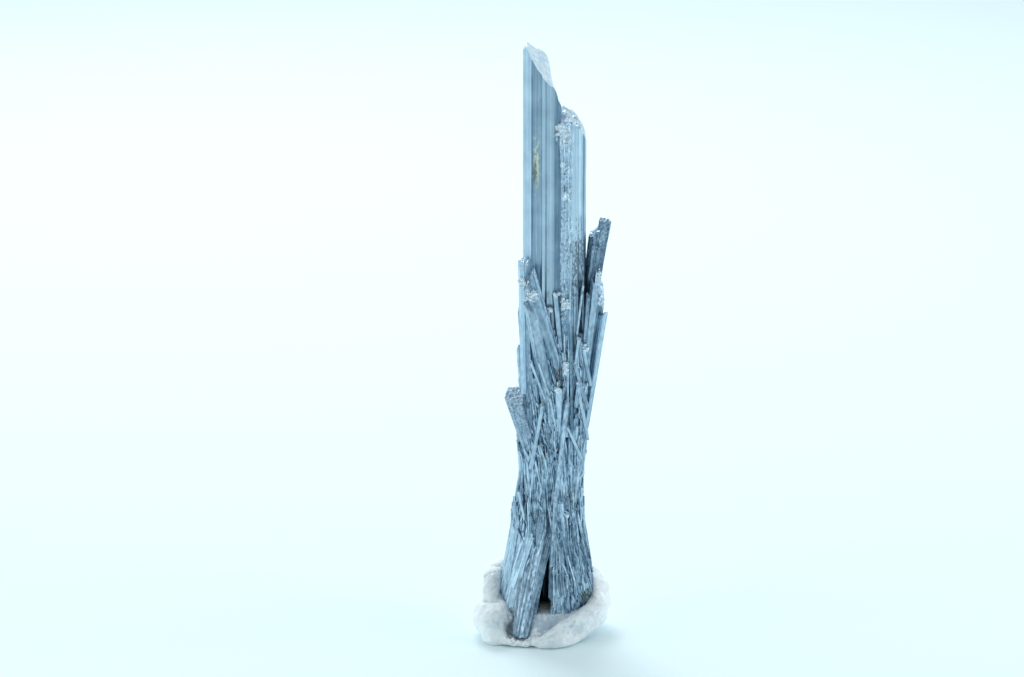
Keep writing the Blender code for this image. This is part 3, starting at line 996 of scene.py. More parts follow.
@dataclass(frozen=True)
class CrystalSheaf:
    """The sheaf of thin laths that opens towards the ground, round a heart and a cavity in front. The
    heart is painted near-black: painted shade that shows in the gaps between the laths.

    The cavity's rows are its reach along X, Y and Z, and its arc and depth are how the heart gives way to
    it. Laths wider than thin have striations of the fine pitch, and the others of the plain one. The foot
    is darker to the right by painted_shade_per_mm, fully below the first of the painted_shade_levels and
    not above the second: painted shade on the side away from the stronger light.
    """

    sheaf: Sheaf = Sheaf()
    heart_gap: float = 1.25
    heart_levels: Row = (4.2, 6.0, 10.0, 15.0, 17.5, 19.5, 22.0, 25.0, 31.0, 37.0, 42.0)
    heart_sides: int = 60
    heart_play: float = 0.25
    # The heart's near-black tone: painted shade.
    heart_painted_shade: float = -0.6
    thin: float = 0.4
    fine_pitch: float = 0.17
    plain_pitch: float = 0.6
    thickness: tuple[float, float] = (0.6, 1.0)
    thickest: float = 0.9
    break_play: float = 120.0
    painted_shade_levels: tuple[float, float] = (8.0, 24.0)
    painted_shade_per_mm: float = 0.035
    crumbs: int = 520
    crumb_heights: tuple[float, float] = (6.0, 44.0)
    crumb_insets: tuple[float, float] = (-0.08, 0.25)
    crumb_sizes: tuple[float, float] = (0.05, 0.13)
    cavity_depth: float = 1.9
    cavity_arc: tuple[float, float] = (254.0, 288.0)
    cavity: tuple[Row, ...] = ((-0.9, 0.95), (-9.0, -1.6), (0.0, 13.6))
    # foot_plates and foot_fan, on the left of the foot, are light, and foot_laths, foot_needles and
    # foot_splinters, on its right, are dark: painted light and painted shade.
    tiers: tuple[LathTier, ...] = (
        LathTier("foot_staves", 54, 16.5, Sheaf.foot, 3.0, 1.3, 0.6, 4.0, (0.9, 1.7), fade=0.4,
                 level=True),
        LathTier("foot_plates", 44, 14.6, 4.4, 3.6, 0.85, 0.12, 3.0, (0.4, 1.0), -28.0, (210.0, 302.0),
                 0.85, 0.2, inset_play=0.15, fade=0.1),
        LathTier("foot_fan", 130, 12.6, 5.0, 4.4, 0.32, 0.0, 2.0, (0.18, 0.42), -26.0, (208.0, 300.0),
                 0.87, 0.25, inset_play=0.07, fade=0.05),
        LathTier("foot_laths", 60, 13.6, 4.4, 3.8, 0.95, 0.12, 7.0, (0.3, 0.8), 5.0, (270.0, 372.0), 0.42,
                 0.3, inset_play=0.15, fade=0.1),
        LathTier("foot_needles", 130, 12.0, 5.6, 3.6, 0.25, 0.0, 9.0, (0.16, 0.36), 6.0, (268.0, 374.0),
                 0.45, 0.4, inset_play=0.12, fade=0.1),
        LathTier("foot_splinters", 120, 9.5, 6.2, 3.6, 0.2, -0.02, 12.0, (0.16, 0.34), 8.0,
                 (266.0, 376.0), 0.45, 0.45, 1.0, 0.12, 0.1),
        LathTier("foot_back", 56, 14.6, 4.4, 3.6, 0.9, 0.15, 5.0, (0.4, 1.2), -3.0, (10.0, 212.0),
                 inset_play=0.12, fade=0.2),
        LathTier("foot_back_fan", 200, 13.0, 5.2, 3.6, 0.22, 0.0, 4.0, (0.18, 0.45), -4.0, (8.0, 214.0),
                 inset_play=0.08, fade=0.1),
        LathTier("waist_staves", 50, 15.0, 21.0, 3.0, 0.9, 0.55, 8.0, (0.5, 1.0), -8.0, tone=0.3),
        LathTier("middle_staves", 50, 20.0, 27.0, 3.0, 0.9, 0.55, 8.0, (0.5, 1.0), -10.0, tone=0.3),
        LathTier("high_staves", 50, 27.0, 35.0, 3.0, 0.9, 0.5, 8.0, (0.4, 1.0), -12.0, tone=0.3),
        LathTier("waist_laths", 80, 16.5, 22.5, 2.5, 0.6, 0.22, 7.0, (0.3, 0.7), -10.0, inset_play=0.15,
                 wear=0.9),
        LathTier("middle_laths", 90, 21.0, 28.0, 3.0, 0.6, 0.22, 7.0, (0.3, 0.7), -14.0, inset_play=0.15,
                 wear=0.9),
        LathTier("upper_laths", 80, 26.0, 33.0, 3.0, 0.6, 0.2, 7.0, (0.3, 0.7), -14.0, inset_play=0.15,
                 wear=0.9),
        LathTier("high_laths", 60, 31.0, 38.0, 3.0, 0.6, 0.25, 8.0, (0.35, 0.8), -12.0, inset_play=0.15),
        LathTier("waist_fibres", 260, 16.0, 20.5, 4.0, 0.2, 0.02, 6.0, (0.14, 0.36), -9.0, tone_play=0.45,
                 follow=1.0, inset_play=0.1, wear=0.9),
        LathTier("upper_fibres", 420, 22.5, 27.5, 5.0, 0.22, 0.02, 7.0, (0.14, 0.36), -11.0,
                 tone_play=0.45, follow=1.0, inset_play=0.1, wear=0.9),
        LathTier("high_fibres", 240, 31.0, 35.5, 4.5, 0.22, 0.03, 7.0, (0.14, 0.36), -10.0, tone_play=0.4,
                 follow=1.0, inset_play=0.1, wear=0.9),
        LathTier("waist_chips", 160, 16.5, 18.5, 5.0, 0.2, 0.0, 10.0, (0.14, 0.34), -5.0, tone_play=0.5,
                 follow=1.0, inset_play=0.14, wear=1.0),
        LathTier("upper_chips", 260, 26.5, 28.6, 8.0, 0.2, 0.0, 11.0, (0.14, 0.34), -7.0, tone_play=0.5,
                 follow=1.0, inset_play=0.14, wear=1.0),
    )

    def laths(self, tier: LathTier, dice: random.Random) -> Iterator[Crystal]:
        """Places the crystals of one tier, spread along its arc with chance in their places.

        Args:
            tier: The tier.
            dice: The source of chance, which the crystals share when they are grown.

        Yields:
            The crystals, but for those that would fill the cavity.
        """
        start, stop = tier.arc
        for step in range(tier.count):
            azimuth = start + (stop - start) * (step + 0.5) / tier.count
            rise = dice.uniform(-tier.height_play, tier.height_play)
            root_at = azimuth + dice.uniform(-tier.azimuth_play, tier.azimuth_play)
            end_at = azimuth + tier.twist + dice.uniform(-tier.azimuth_play, tier.azimuth_play)
            root = self.sheaf.point(tier.root_height + rise, root_at, tier.root_inset)
            loose = (1.0 - tier.follow) * tier.height_play
            climb = 0.0 if tier.level else tier.follow * rise + dice.uniform(-loose, loose)
            inset = tier.end_inset + dice.uniform(-tier.inset_play, tier.inset_play)
            end = self.sheaf.point(tier.end_height + climb, end_at, inset)
            width = dice.uniform(*tier.widths)
            if self.fills_cavity(root, end):
                continue
            yield Crystal(
                tuple(root), tuple(end), width, min(self.thickest, width * dice.uniform(*self.thickness)),
                faces=(azimuth + end_at) / 2 + dice.uniform(-TURN_PLAY, TURN_PLAY),
                break_slope=dice.uniform(*BREAK_SLOPES),
                break_towards=end_at + dice.uniform(-self.break_play, self.break_play),
                tone=self.tone_at(tier, end, dice), finish=End.LEVEL if tier.level else End.SNAPPED,
                pitch=self.fine_pitch if width > self.thin else self.plain_pitch, fade=tier.fade,
                wear=tier.wear,
            )

    def fills_cavity(self, root: Vector, end: Vector) -> bool:
        """Returns whether a lath would stand in the dark cavity beside the front leg."""
        places = (root.lerp(end, step / 6) for step in range(7))
        return any(all(low < value < high for value, (low, high) in zip(place, self.cavity))
                   for place in places)

    def tone_at(self, tier: LathTier, place: Vector, dice: random.Random) -> float:
        """Returns a lath's tone, with painted shade: darker on the right of the foot, lighter on its left.
        """
        low = 1.0 - smooth_share(place.z, *self.painted_shade_levels)
        play = dice.uniform(-tier.tone_play, tier.tone_play)
        return tier.tone + play - low * self.painted_shade_per_mm * place.x

    def sparkles(self, mesh: CrystalMesh) -> None:
        """Strews crumbs over the sheaf, painted pale as highlights."""
        for _ in range(self.crumbs):
            height, azimuth = mesh.dice.uniform(*self.crumb_heights), mesh.dice.uniform(0.0, 360.0)
            seat = self.sheaf.point(height, azimuth, mesh.dice.uniform(*self.crumb_insets))
            size = mesh.dice.uniform(*self.crumb_sizes)
            if not self.fills_cavity(seat, seat):
                mesh.crumb(seat, size)

    def heart_inset(self, level: float, azimuth: float) -> float:
        """Returns how far the heart lies inside the outer form: deeper behind the cavity."""
        behind = level < self.cavity[2][1] and self.cavity_arc[0] < azimuth < self.cavity_arc[1]
        return self.heart_gap + (self.cavity_depth if behind else 0.0)

    def build(self, finish: bpy.types.Material) -> list[bpy.types.Object]:
        """Builds the whole sheaf.

        Args:
            finish: The crystals' finish.

        Returns:
            The heart, the tiers of laths and the crumbs as pieces.
        """
        # The heart is a core painted near-black: painted shade that shows between the laths and in the
        # cavity.
        heart = CrystalMesh(11)
        azimuths = [360.0 * step / self.heart_sides for step in range(self.heart_sides)]
        rings = []
        for level in self.heart_levels:
            plays = [heart.dice.uniform(0.0, self.heart_play) for _ in azimuths]
            rings.append([self.sheaf.point(level, azimuth, self.heart_inset(level, azimuth) + play)
                          for azimuth, play in zip(azimuths, plays)])
        top = heart.loft(rings, [self.heart_painted_shade] * self.heart_sides)
        heart.cap(top, UP, rough=0.1, rim=0.0, tone=self.heart_painted_shade)
        pieces = [heart.finished("sheaf_heart", finish)]
        for number, tier in enumerate(self.tiers):
            mesh = CrystalMesh(50 + number)
            mesh.grow_all(self.laths(tier, mesh.dice))
            pieces.append(mesh.finished(tier.name, finish))
        crumbs = CrystalMesh(13)
        self.sparkles(crumbs)
        return [*pieces, crumbs.finished("sheaf_crumbs", finish)]


@dataclass(frozen=True)
class Bundle:
    """Thin crystals side by side: the middles of their roots and ends, and how wide they spread there."""

    root: Row
    end: Row
    spread: tuple[float, float]
    count: int
    widths: tuple[float, float]
    faces: float
    tone: float
    tone_play: float = 0.22
    rise: float = 0.12
    root_play: float = 3.0
    end_play: float = 0.5
    finish: End = End.SNAPPED
    root_inset: float = 0.25
    thickness: tuple[float, float] = (0.7, 1.0)

    def crystals(self, dice: random.Random) -> Iterator[Crystal]:
        """Places the crystals, with chance in their lengths, widths and tones.

        Args:
            dice: The source of chance, which the crystals share when they are grown.

        Yields:
            The crystals, from one side of the bundle to the other.
        """
        root, end = Vector(self.root), Vector(self.end)
        along = (end - root).normalized()
        out = compass(self.faces)
        out = (out - along * out.dot(along)).normalized()
        across = along.cross(out)
        for step in range(self.count):
            share = (step + dice.random()) / self.count - 0.5
            lift = out * dice.uniform(-self.rise, self.rise)
            start = root + across * (share * self.spread[0]) + lift - out * self.root_inset
            start += along * dice.uniform(0.0, self.root_play)
            stop = end + across * (share * self.spread[1]) + lift
            stop -= along * dice.uniform(0.0, self.end_play)
            width = dice.uniform(*self.widths)
            yield Crystal(
                tuple(start), tuple(stop), width, width * dice.uniform(*self.thickness),
                faces=self.faces + dice.uniform(-TURN_PLAY, TURN_PLAY),
                break_slope=dice.uniform(*BREAK_SLOPES), break_towards=dice.uniform(0.0, 360.0),
                tone=self.tone + dice.uniform(-self.tone_play, self.tone_play), finish=self.finish,
                pitch=0.22, fade=0.1, step=3.0, wander=0.03, wear=0.8,
            )


@dataclass(frozen=True)
class LeaningCrystals:
    """The crystals that lean out round the foot of the tall blade, and the legs of the open foot.

    A patch is the middle of a cluster of bright crumbs, its reach, and their number.
    """

    foot: float = Sheaf.foot
    blades: tuple[Crystal, ...] = (
        Crystal((-1.9, -1.2, 25.6), (-2.7, -1.3, 38.2), 0.9, 1.3, faces=-150, break_slope=50,
                break_towards=150),
        Crystal((-1.5, -1.8, 31.0), (-2.0, -2.0, 44.0), 1.0, 0.9, faces=-110, tone=0.4),
        Crystal((1.6, -2.6, 26.0), (-1.4, -2.5, 43.2), 2.0, 1.0, faces=-85, break_slope=60),
        Crystal((2.95, -3.1, 26.6), (3.45, -2.25, 51.0), 0.42, 0.5, tone=0.85, pitch=0.4, fade=0.0,
                wear=0.8),
        Crystal((2.3, -2.2, 36.0), (1.45, -2.55, 45.0), 0.85, 0.6, break_slope=15, tone=0.55),
        Crystal((1.4, -2.3, 35.0), (0.55, -2.45, 42.7), 0.6, 0.6, break_slope=30, tone=0.35),
        Crystal((0.2, -2.9, 31.5), (-1.6, -3.15, 36.4), 0.42, 0.45, tone=0.9),
        Crystal((0.9, -2.9, 31.5), (-0.6, -3.15, 36.2), 0.42, 0.45, tone=0.8),
        Crystal((1.5, -3.4, 17.7), (3.0, -3.3, 31.2), 0.8, 0.8, root_share=0.95, tone=0.6, pitch=0.3,
                fade=0.0, step=1.5, wander=0.04, wear=1.0),
        Crystal((3.6, -2.9, 27.0), (3.4, -3.0, 41.2), 0.55, 0.6, tone=0.3),
        Crystal((1.6, -3.4, 19.5), (1.15, -4.5, 9.9), 0.8, 0.8, root_share=0.9, pitch=0.3,
                fade=0.0, step=1.5, wander=0.04, wear=1.0),
        Crystal((-2.6, -1.9, 10.5), (-3.4, -1.2, 16.6), 0.9, 0.8, faces=-140, break_slope=50,
                break_towards=70, tone=0.55),
        Crystal((-2.8, -1.2, 10.5), (-3.6, -0.6, 15.9), 0.8, 0.8, faces=-170, break_slope=50,
                break_towards=70),
        Crystal((-1.5, -2.6, 12.0), (-2.9, -2.3, 18.8), 0.6, 0.6, faces=-120, break_slope=50,
                break_towards=70, tone=0.6),
        Crystal((3.9, -1.9, 20.0), (5.05, -1.2, 21.4), 0.5, 0.5, faces=-40, tone=0.6),
        Crystal((2.1, -3.0, 25.6), (1.9, -3.4, 32.9), 1.3, 0.7, break_slope=20, root_share=0.15,
                tone=0.85, pitch=0.6),
        Crystal((4.0, -2.1, 38.0), (4.9, -2.4, 45.9), 0.35, 0.4, tone=1.0),
        Crystal((3.9, -2.4, 35.0), (4.4, -2.8, 39.3), 0.6, 0.6, tone=0.8),
        Crystal((5.9, -2.1, 33.0), (4.9, -2.4, 38.5), 0.6, 0.6, tone=0.6),
        Crystal((5.6, -2.6, 30.0), (4.0, -3.0, 35.7), 0.6, 0.6, tone=0.6),
        Crystal((5.2, -1.2, 27.5), (7.3, -1.3, 42.0), 1.1, 1.5, faces=-60, break_towards=160, tone=0.62),
        Crystal((5.0, -1.7, 32.5), (6.4, -1.8, 45.6), 1.3, 1.2, faces=-80, break_slope=60,
                break_towards=20),
        Crystal((4.8, -2.0, 33.6), (5.6, -2.1, 44.6), 0.7, 0.8, tone=0.45),
        Crystal((-1.5, -2.8, 22.3), (-0.1, -3.3, 30.8), 0.62, 0.5, root_share=1.0, tone=0.8),
        Crystal((1.2, -3.0, 20.2), (-0.4, -3.35, 25.4), 0.42, 0.45, tone=0.9),
        Crystal((1.9, -3.0, 25.9), (0.8, -3.3, 31.8), 0.4, 0.45, tone=0.85),
        Crystal((4.8, -2.7, 23.6), (3.0, -3.25, 28.0), 0.42, 0.45, tone=0.9),
        Crystal((5.6, -2.1, 25.9), (4.2, -2.9, 33.9), 0.5, 0.5, tone=0.8),
        Crystal((0.9, 1.8, 24.0), (0.2, 3.1, 46.5), 2.3, 1.3, faces=95, break_slope=45,
                break_towards=150),
        Crystal((3.3, 1.7, 23.0), (4.6, 3.0, 40.6), 1.9, 1.2, faces=80, break_slope=40, break_towards=40,
                tone=0.35),
        Crystal((-0.4, 1.6, 21.0), (-2.0, 2.7, 38.0), 1.8, 1.3, faces=115, break_slope=30,
                break_towards=120, tone=0.6),
        Crystal((4.3, 0.9, 26.0), (6.3, 1.9, 36.6), 1.5, 1.2, faces=40, tone=0.45),
        Crystal((-1.6, 0.8, 24.0), (-2.6, 1.0, 42.6), 1.6, 1.1, faces=170, break_slope=50,
                break_towards=200),
    )
    # The legs to the left are light and those to the right dark: painted light and painted shade. The
    # second, below 0 and darker towards the ground, is painted shade down the front leg's shaded right
    # side.
    legs: tuple[Crystal, ...] = (
        Crystal((0.7, -2.1, 17.5), (-2.75, -5.5, 1.0), 2.0, 1.3, faces=-115, root_share=1.2,
                finish=End.LEVEL, pitch=0.2, fade=0.0, step=2.0, wear=1.0),
        Crystal((0.9, -2.1, 15.5), (-2.1, -5.0, 1.2), 1.9, 1.2, faces=-70, root_share=0.9, tone=-0.1,
                finish=End.LEVEL, pitch=0.3, fade=-0.2, step=1.2, wander=0.06, wear=1.0),
        Crystal((-0.2, -2.6, 20.0), (-3.8, -3.3, foot), 1.8, 1.2, faces=-120, tone=0.62,
                finish=End.LEVEL),
        Crystal((-1.6, -1.7, 19.5), (-4.5, -2.0, foot), 1.6, 1.2, faces=-150, tone=0.7, finish=End.LEVEL),
        Crystal((0.4, -2.9, 19.0), (-2.4, -3.9, foot), 1.7, 1.0, faces=-100, tone=0.66, finish=End.LEVEL),
        Crystal((1.5, -2.7, 17.8), (1.3, -4.1, foot), 0.8, 0.9, tone=0.3, finish=End.LEVEL),
        Crystal((2.0, -2.8, 18.6), (2.1, -4.2, foot), 0.9, 0.9, faces=-85, tone=0.4, finish=End.LEVEL),
        Crystal((2.5, -2.7, 19.5), (3.1, -4.0, foot), 1.1, 1.0, faces=-88, tone=0.3, finish=End.LEVEL),
        Crystal((3.2, -1.9, 20.0), (4.2, -3.0, foot), 1.3, 1.1, faces=-75, tone=0.35, finish=End.LEVEL),
        Crystal((3.5, -1.1, 20.5), (5.2, -1.7, foot), 1.4, 1.2, faces=-45, tone=0.35, finish=End.LEVEL),
    )
    # Of the bundles at the foot, those to the left are light and those to the right dark: painted light
    # and painted shade. The fifth, below 0, is painted shade on the front leg's shaded right side.
    bundles: tuple[Bundle, ...] = (
        Bundle((4.9, -2.5, 34.6), (4.35, -2.9, 39.3), (2.0, 0.3), 13, (0.1, 0.17), -80, 0.95,
               root_play=1.5),
        Bundle((4.4, -2.9, 29.5), (4.9, -2.9, 33.6), (1.2, 1.4), 12, (0.12, 0.22), -75, 0.8,
               root_play=1.5),
        Bundle((-0.7, -2.9, 14.5), (-3.05, -5.7, 0.9), (4.2, 1.5), 34, (0.22, 0.5), -115, 0.6, 0.16, 0.06,
               finish=End.LEVEL),
        Bundle((-0.2, -2.8, 13.5), (-2.2, -5.4, 3.6), (2.6, 1.7), 20, (0.25, 0.5), -105, 0.55,
               end_play=1.2),
        Bundle((0.9, -2.5, 13.0), (-1.9, -5.1, 0.9), (0.7, 1.1), 9, (0.3, 0.55), -65, -0.05, 0.12,
               finish=End.LEVEL),
        Bundle((-3.0, -1.9, 15.5), (-4.6, -2.7, 3.9), (1.6, 2.0), 16, (0.25, 0.55), -135, 0.78),
        Bundle((-1.7, -2.7, 15.5), (-3.9, -3.7, 3.9), (1.6, 1.6), 16, (0.25, 0.55), -115, 0.78),
        Bundle((1.6, -2.9, 15.0), (1.5, -4.15, 3.9), (0.7, 0.9), 9, (0.25, 0.5), -90, 0.5),
        Bundle((2.6, -2.8, 14.5), (3.0, -4.0, 3.9), (1.2, 1.7), 15, (0.2, 0.5), -85, 0.25, 0.3),
        Bundle((4.0, -2.2, 15.0), (5.0, -2.5, 3.9), (1.2, 2.0), 15, (0.2, 0.5), -55, 0.25, 0.3),
    )
    patch_spread: float = 0.55
    patch_crumbs: tuple[float, float] = (0.12, 0.3)
    patches: tuple[tuple[Row, Row, int], ...] = (
        ((-2.45, -2.75, 46.5), (0.45, 0.1, 0.6), 26),
        ((-1.6, -3.2, 44.9), (0.7, 0.1, 0.75), 36),
        ((2.75, -3.2, 35.5), (0.25, 0.12, 0.8), 26),
        ((1.85, -3.65, 32.8), (0.4, 0.12, 0.22), 12),
        ((5.2, -2.7, 38.0), (0.4, 0.2, 0.5), 10),
        ((0.75, -2.7, 42.85), (0.3, 0.12, 0.3), 12),
        ((1.5, -2.8, 44.95), (0.3, 0.12, 0.15), 8),
        ((2.75, -2.85, 43.8), (0.55, 0.1, 0.55), 46),
        ((6.85, -2.1, 46.9), (0.22, 0.12, 0.9), 16),
        ((7.0, -1.9, 44.6), (0.2, 0.12, 0.8), 10),
        ((2.4, -3.3, 17.2), (0.2, 0.1, 0.2), 5),
        ((2.9, -3.5, 16.4), (0.2, 0.1, 0.2), 5),
    )

    def clusters(self) -> CrystalMesh:
        """Returns a mesh of the clusters of bright crumbs."""
        mesh = CrystalMesh(23)
        for middle, reach, count in self.patches:
            for _ in range(count):
                away = Vector(mesh.dice.gauss(0.0, self.patch_spread) * value for value in reach)
                mesh.crumb(Vector(middle) + away, mesh.dice.uniform(*self.patch_crumbs))
        return mesh

    def build(self, finish: bpy.types.Material) -> list[bpy.types.Object]:
        """Builds the leaning crystals and the legs.

        Args:
            finish: The crystals' finish.

        Returns:
            The leaning crystals, the legs, the bundles and the crumbs on them as four pieces.
        """
        fibres = CrystalMesh(24)
        for bundle in self.bundles:
            fibres.grow_all(bundle.crystals(fibres.dice))
        return [
            CrystalMesh(21).grow_all(self.blades).finished("leaning_crystals", finish),
            CrystalMesh(22).grow_all(self.legs).finished("foot_crystals", finish),
            fibres.finished("foot_fibres", finish),
            self.clusters().finished("bright_patches", finish),
        ]


@dataclass(frozen=True)
class ColumnPlan:
    """One upright column of the tall blade: its plan, and its break's height along the front and the back.

    Each row of the plan is a corner, and the lightness of the side that starts there: painted light and
    shade, for how brightly each side faces the lamps.
    """

    name: str
    seed: int
    plan: tuple[Row, ...]
    broken: tuple[Row, ...]
    lumps: float
    grit: float


@dataclass(frozen=True)
class TallBlade:
    """The tall ribbed blade: two columns side by side, and a granular rib up the front of their joint.

    Each row of the rib's widths is a height and the width there. Its crumbs are clusters: the place across
    and up, the crumbs' size and their number.
    """

    root: float = 21.0
    grown_to: float = 80.0
    half_depth: float = 2.1
    step: float = 2.4
    striation: float = 0.025
    columns: tuple[ColumnPlan, ...] = (
        ColumnPlan("tall_column", 31, (
            (-2.55, 0.2, 0.6), (-2.35, -0.8, 0.66), (-1.55, -1.6, 0.42), (-1.35, -1.5, 0.36),
            (-0.3, -1.8, 0.55), (-0.2, -2.0, 0.9), (0.15, -1.95, 0.25), (0.4, -2.05, 0.75),
            (1.1, -2.1, 0.45), (1.3, -2.1, 0.12), (2.1, -1.9, 0.5), (2.25, 1.6, 0.5), (1.5, 2.1, 0.2),
            (1.2, 1.9, 0.6), (0.3, 2.3, 0.4), (-0.7, 1.95, 0.1), (-0.9, 1.7, 0.6), (-1.9, 1.2, 0.5),
            (-2.4, 0.7, 0.6),
        ), (
            (-2.6, 74.8, 75.0), (-2.3, 75.7, 75.8), (-1.95, 75.4, 76.15), (-1.6, 74.3, 75.8),
            (-0.75, 72.8, 75.1), (-0.35, 72.3, 74.8), (0.3, 71.5, 74.2), (0.7, 71.2, 73.2),
            (1.05, 71.0, 70.9), (1.3, 70.8, 70.0), (1.6, 70.0, 69.4), (1.75, 69.3, 69.0),
            (2.0, 69.0, 68.0), (2.3, 68.1, 67.3),
        ), 0.09, 0.12),
        ColumnPlan("shoulder_column", 33, (
            (1.3, -0.2, 0.5), (1.5, -1.85, 0.5), (3.5, -2.0, 0.9), (4.3, -1.7, 0.95), (4.85, -1.0, 0.35),
            (5.05, -1.05, 0.6), (5.25, -0.2, 0.5), (5.1, 0.7, 0.5), (4.3, 1.6, 0.6), (3.6, 1.75, 0.1),
            (3.3, 1.55, 0.6), (2.4, 2.15, 0.4), (1.5, 1.85, 0.5),
        ), (
            (1.3, 65.9, 67.4), (2.9, 66.3, 67.7), (4.2, 66.0, 66.8), (4.9, 64.7, 65.8), (5.3, 63.3, 64.1),
        ), 0.22, 0.35),
    )
    rib_root: Row = (3.0, -1.95, 31.1)
    rib_end: Row = (2.75, -1.85, 66.4)
    rib_widths: tuple[Row, ...] = (
        (31.0, 0.7), (36.0, 1.0), (42.0, 1.6), (50.0, 1.6), (55.0, 1.3), (60.0, 1.3), (63.0, 1.6),
        (67.0, 2.1),
    )
    rib_depth: float = 0.9
    rib_squareness: float = 0.6
    rib_levels: int = 200
    rib_sides: int = 34
    rib_ridges: tuple[float, float] = (-0.08, 0.06)
    rib_spacing: Row = (2.0, 2.0, 1.3)
    rib_octaves: tuple[tuple[float, float], ...] = ((1.0, 0.11), (2.9, 0.07))
    rib_roughness: float = 0.025
    rib_tone: float = 0.86
    rib_tone_play: float = 0.1
    rib_clouds: Row = (2.0, 2.0, 1.1)
    rib_cloud_play: float = 0.2
    rib_bare_top: Row = (61.5, 65.0)
    rib_fresh: float = 0.42
    rib_grit: float = 0.45
    rib_crumbs: tuple[tuple[Row, float, int], ...] = (
        ((1.75, 65.6), 0.3, 6), ((2.1, 66.3), 0.32, 6), ((2.7, 66.7), 0.34, 8), ((2.6, 65.2), 0.34, 10),
        ((3.0, 64.3), 0.3, 8), ((3.6, 66.6), 0.26, 8), ((4.5, 65.9), 0.22, 8), ((2.5, 60.9), 0.2, 4),
        ((2.55, 57.3), 0.26, 9), ((2.7, 43.8), 0.26, 9), ((2.5, 50.4), 0.12, 4),
    )

    def column(self, plan: ColumnPlan, finish: bpy.types.Material) -> bpy.types.Object:
        """Builds one column.

        Args:
            plan: The column's plan and break.
            finish: Its finish.

        Returns:
            The column as a piece.
        """
        crystal = BrokenCrystal(plan.name, plan.seed, Vector((0.0, 0.0, self.root)),
                                (Vector((1.0, 0.0, 0.0)), Vector((0.0, 1.0, 0.0)), UP))
        outline = [Vector((x, y, 0.0)) for x, y, _ in plan.plan]
        # The plan's tones paint each side's light and shade.
        tones = [tone for _, _, tone in plan.plan]
        crystal.sides(outline, self.grown_to - self.root, self.step, (1.0, 1.0), self.striation, tones)

        def height(across: float, out: float) -> float:
            """Returns how high above the root the column is broken there."""
            front, back = between(plan.broken, across)
            share = min(max((out / self.half_depth + 1.0) / 2.0, 0.0), 1.0)
            return front + (back - front) * share - self.root

        xs, ys = [row[0] for row in plan.plan], [row[1] for row in plan.plan]
        margin = crystal.CUT_MARGIN
        reach = (min(xs) - margin, max(xs) + margin, min(ys) - margin, max(ys) + margin)
        crystal.break_off(reach, height, plan.lumps, plan.grit)
        return crystal.finished(finish)

    def rib_rings(self, dice: random.Random) -> Iterator[list[Vector]]:
        """Shapes the granular rib, a flat band that is ridged down its length and rough all over.

        Args:
            dice: The source of chance.

        Yields:
            The places of each ring's corners, from the root up.
        """
        root, end = Vector(self.rib_root), Vector(self.rib_end)
        ridges = [dice.uniform(*self.rib_ridges) for _ in range(self.rib_sides)]
        for level in range(self.rib_levels + 1):
            middle = root.lerp(end, level / self.rib_levels)
            half = between(self.rib_widths, middle.z)[0] / 2
            ring = []
            for side, ridge in enumerate(ridges):
                way = compass(360.0 * side / self.rib_sides)
                across = math.copysign(abs(way.x) ** self.rib_squareness, way.x) * half
                out = math.copysign(abs(way.y) ** self.rib_squareness, way.y) * self.rib_depth / 2
                place = middle + Vector((across, out, 0.0))
                lump = rumple(place * Vector(self.rib_spacing), self.rib_octaves)
                lump += dice.uniform(-self.rib_roughness, self.rib_roughness)
                ring.append(place + way * (lump + ridge))
            yield ring

    def rib(self, finish: bpy.types.Material) -> bpy.types.Object:
        """Builds the granular front rib, with its bright crumbs.

        Args:
            finish: Its finish.

        Returns:
            The rib as a piece.
        """
        mesh = CrystalMesh(35)
        play = self.rib_tone_play
        tones = [self.rib_tone + mesh.dice.uniform(-play, play) for _ in range(self.rib_sides)]
        top = mesh.loft(list(self.rib_rings(mesh.dice)), tones)
        for face in in_order(mesh.mesh.faces):
            middle = face.calc_center_median()
            cloud = noise.noise(middle * Vector(self.rib_clouds))
            high = 0.6 * smooth_share(middle.z, *self.rib_bare_top)
            grain, speck = (mesh.dice.uniform(-self.rib_cloud_play, self.rib_cloud_play) for _ in range(2))
            face[mesh.fresh] = self.rib_fresh * smooth_share(cloud + high + grain, 0.0, 0.8)
            face[mesh.grit] = self.rib_grit + speck - 0.4 * high
        mesh.cap(top, UP, rough=0.2, rim=0.25, tone=0.8)
        for (across, height), size, count in self.rib_crumbs:
            seat = Vector((across, self.rib_end[1] - self.rib_depth / 2, height))
            for _ in range(count):
                aside, out = mesh.dice.gauss(0.0, 0.6), mesh.dice.uniform(0.0, 0.9)
                away = Vector((aside, out, mesh.dice.gauss(0.0, 0.9)))
                mesh.crumb(seat + away * size, size * mesh.dice.uniform(0.5, 1.0))
        return mesh.finished("front_rib", finish)

    def build(self, finish: bpy.types.Material) -> list[bpy.types.Object]:
        """Returns the two columns and the rib."""
        return [*(self.column(plan, finish) for plan in self.columns), self.rib(finish)]


@dataclass(frozen=True)
class BigBreak:
    """A leaning crystal that ends in a deep break.

    ribs is the number down each broad side, lumps and grit are the break's, crumble is the length below it
    in which the sides are granular too, and bright is how bright the granular places are.
    """

    name: str
    seed: int
    crystal: Crystal
    ribs: int
    lumps: float
    grit: float
    crumble: float
    bright: float = 1.0


